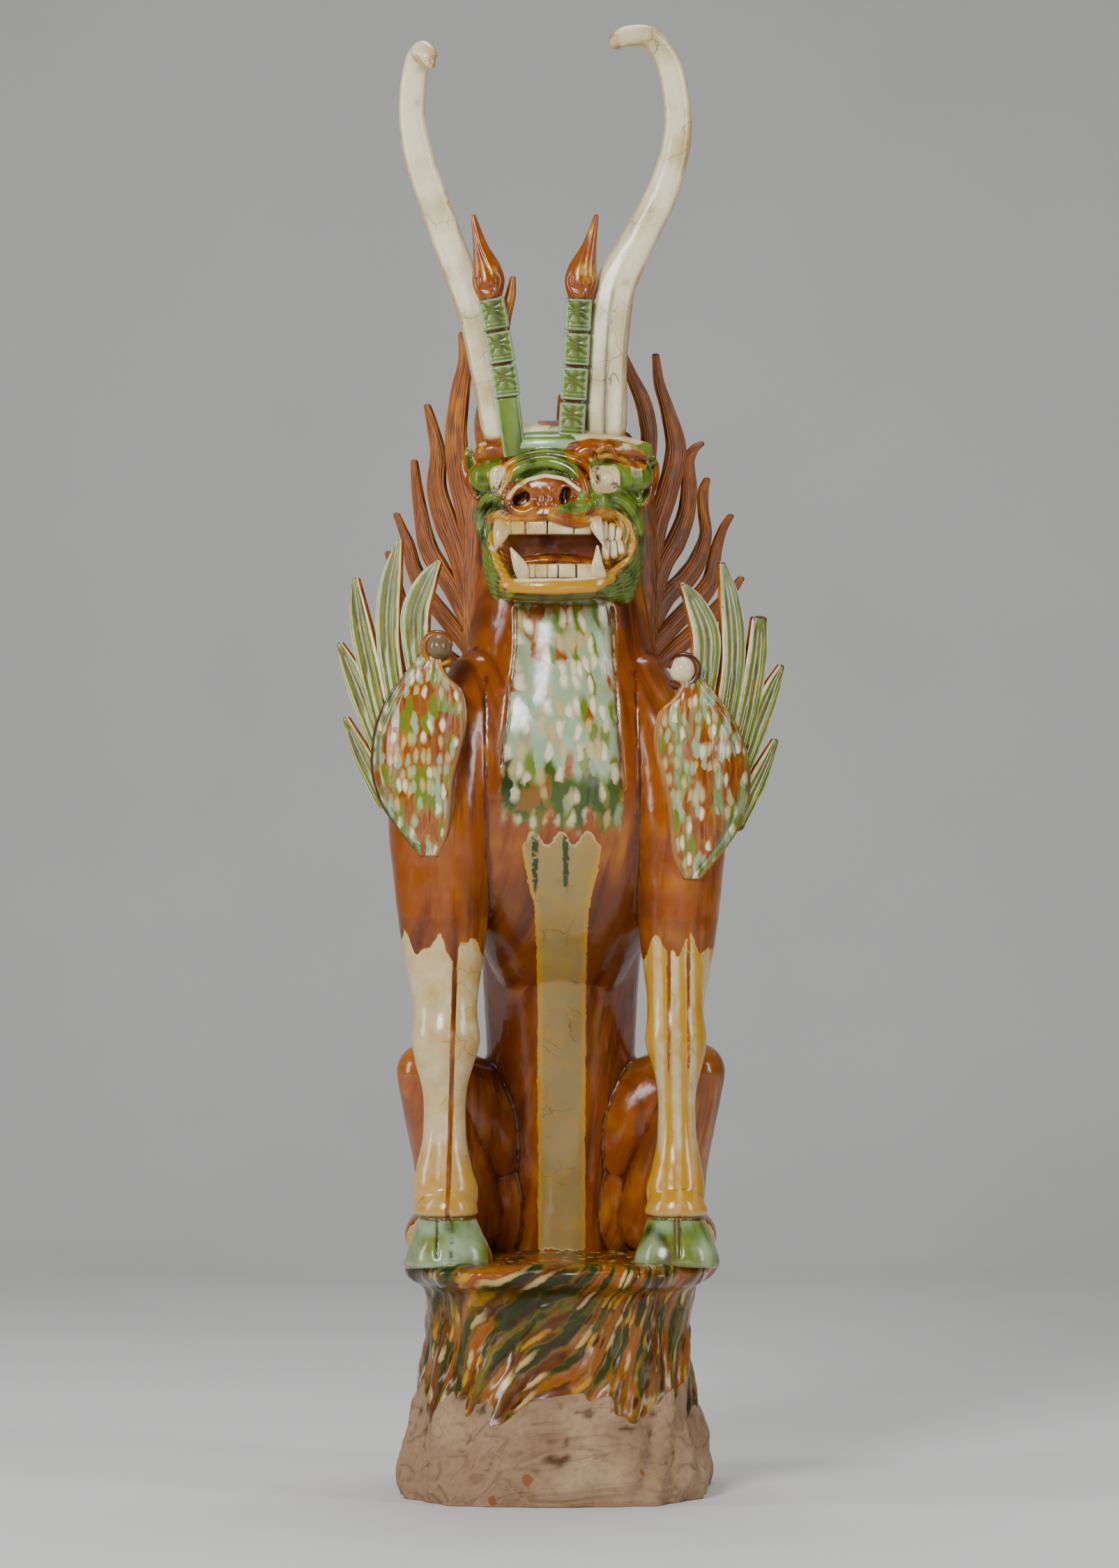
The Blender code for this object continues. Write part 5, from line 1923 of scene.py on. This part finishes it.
@dataclass
class Studio:
    """Pale seamless paper, five soft boxes, and a level camera in front of the beast."""

    camera_place: tuple[float, float, float] = (-0.0009, -5.0, 0.584)
    lens: float = 92.4
    sensor_height: float = 24.0
    aim: tuple[float, float, float] = (0.0, 0.0, 0.6)
    air: str = "#dcdcdc"
    air_strength: float = 0.12
    paper_reach: float = 20.0
    paper_bend_y: float = 2.2
    paper_bend: float = 1.2
    paper_top: float = 6.0
    # Name, place, width and height in metres, and power in watts
    boxes: tuple = (
        ("front_box", (-1.1, -2.6, 1.9), (0.7, 1.0), 78),
        ("low_fill", (0.6, -3.6, 0.7), (1.2, 0.9), 11),
        ("right_box", (2.2, -1.2, 1.3), (0.4, 1.5), 26),
        ("left_box", (-2.3, -0.4, 1.2), (0.4, 1.5), 24),
        ("top_box", (0.2, 0.6, 3.0), (1.6, 1.2), 46),
    )

    def paper(self) -> None:
        """The seamless paper that the beast stands on."""
        arc = np.linspace(0, math.pi / 2, 24)
        reach, start, bend = self.paper_reach, self.paper_bend_y, self.paper_bend
        profile = [(-reach, 0.0), (start, 0.0)]
        profile += [(start + bend * math.sin(a), bend - bend * math.cos(a)) for a in arc[1:]]
        profile.append((start + bend, self.paper_top))
        points = [(x, y, z) for y, z in profile for x in (-reach, reach)]
        faces = [(2 * k, 2 * k + 1, 2 * k + 3, 2 * k + 2) for k in range(len(profile) - 1)]
        mesh = bpy.data.meshes.new("seamless_paper")
        mesh.from_pydata(points, [], faces)
        mesh.shade_smooth()
        paper = bpy.data.objects.new("seamless_paper", mesh)
        bpy.context.collection.objects.link(paper)
        material = bpy.data.materials.new("matt_paper")
        material.use_nodes = True
        tree = material.node_tree
        tree.nodes.clear()
        spot = node(tree, "ShaderNodeTexCoord", output="Object")
        mottle = node(tree, "ShaderNodeTexNoise", {"Vector": spot, "Scale": 3.0})
        colour = {0: mottle, 6: linear("#c9c9c8"), 7: linear("#d3d3d2")}
        colour = node(tree, "ShaderNodeMix", colour, 2, data_type="RGBA")
        shader = node(tree, "ShaderNodeBsdfPrincipled", {"Base Color": colour, "Roughness": 0.9})
        node(tree, "ShaderNodeOutputMaterial", {"Surface": shader})
        mesh.materials.append(material)

    def light(self, name: str, place: Sequence[float], size: Sequence[float], power: float) -> None:
        """Add one soft box aimed at the middle of the beast.

        Args:
            name: Its name.
            place: Where it stands, in metres.
            size: Its width and height, in metres.
            power: Its power, in watts.
        """
        data = bpy.data.lights.new(name, "AREA")
        data.shape = "RECTANGLE"
        data.size, data.size_y = size
        data.energy = power
        lamp = bpy.data.objects.new(name, data)
        lamp.location = place
        aim = Vector(self.aim) - lamp.location
        lamp.rotation_euler = aim.to_track_quat("-Z", "Y").to_euler()
        bpy.context.collection.objects.link(lamp)

    def build(self) -> None:
        """Set up paper, lights, world and camera."""
        self.paper()
        for box in self.boxes:
            self.light(*box)
        world = bpy.data.worlds.new("studio_air")
        world.use_nodes = True
        air = world.node_tree.nodes["Background"].inputs
        air["Color"].default_value = linear(self.air)
        air["Strength"].default_value = self.air_strength
        bpy.context.scene.world = world
        data = bpy.data.cameras.new("front_camera")
        data.sensor_fit = "VERTICAL"
        data.sensor_height = self.sensor_height
        data.lens = self.lens
        camera = bpy.data.objects.new("front_camera", data)
        camera.location = self.camera_place
        camera.rotation_euler = (math.pi / 2, 0, 0)
        bpy.context.collection.objects.link(camera)
        bpy.context.scene.camera = camera


def main() -> None:
    """Build the beast piece by piece, light it, and report it."""
    logging.basicConfig(level=logging.INFO, format="%(message)s")
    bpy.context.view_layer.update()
    coat = LeadGlaze("amber_lead_glaze_with_splashed_chest", splashes=CHEST_SPLASHES).make()
    plain = LeadGlaze("green_and_amber_lead_glaze", streak=(15.0, 22.0)).make()
    rock = LeadGlaze(
        "streaked_lead_glaze_over_clay",
        deep="#2c1203",
        amber="#643405",
        thin="#8c580c",
        gloss=0.2,
        shine=0.35,
        splashes=ROCK_SPLASHES,
        clay=True,
    ).make()
    dappled = LeadGlaze("dappled_lead_glaze", streak=(3.0, 40.0), splashes=WING_SPLASHES).make()
    cream = LeadGlaze("cream_lead_glaze", gloss=0.2).make()
    combed = LeadGlaze(
        "thin_amber_glaze_on_combed_clay",
        deep="#5a2806",
        amber="#8c4604",
        thin="#b46e10",
        gloss=0.36,
        shine=0.25,
        streak=(3.0, 40.0),
    ).make()
    body = Body().build()
    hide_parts(NODE)
    settle(body, coat)
    settle(Plinth().build(), rock, groove=1.1)
    settle(Head().build(), plain)
    settle(Teeth().build(), cream, groove=4.0)
    for horn in (LEFT_HORN, RIGHT_HORN):
        settle(horn.build(), cream, groove=1.0)
    for side in (-1, 1):
        settle(Wing(side).build(), dappled)
    for mane in (LEFT_MANE, RIGHT_MANE):
        settle(mane.build(), combed)
    Studio().build()


if __name__ == "__main__":
    main()
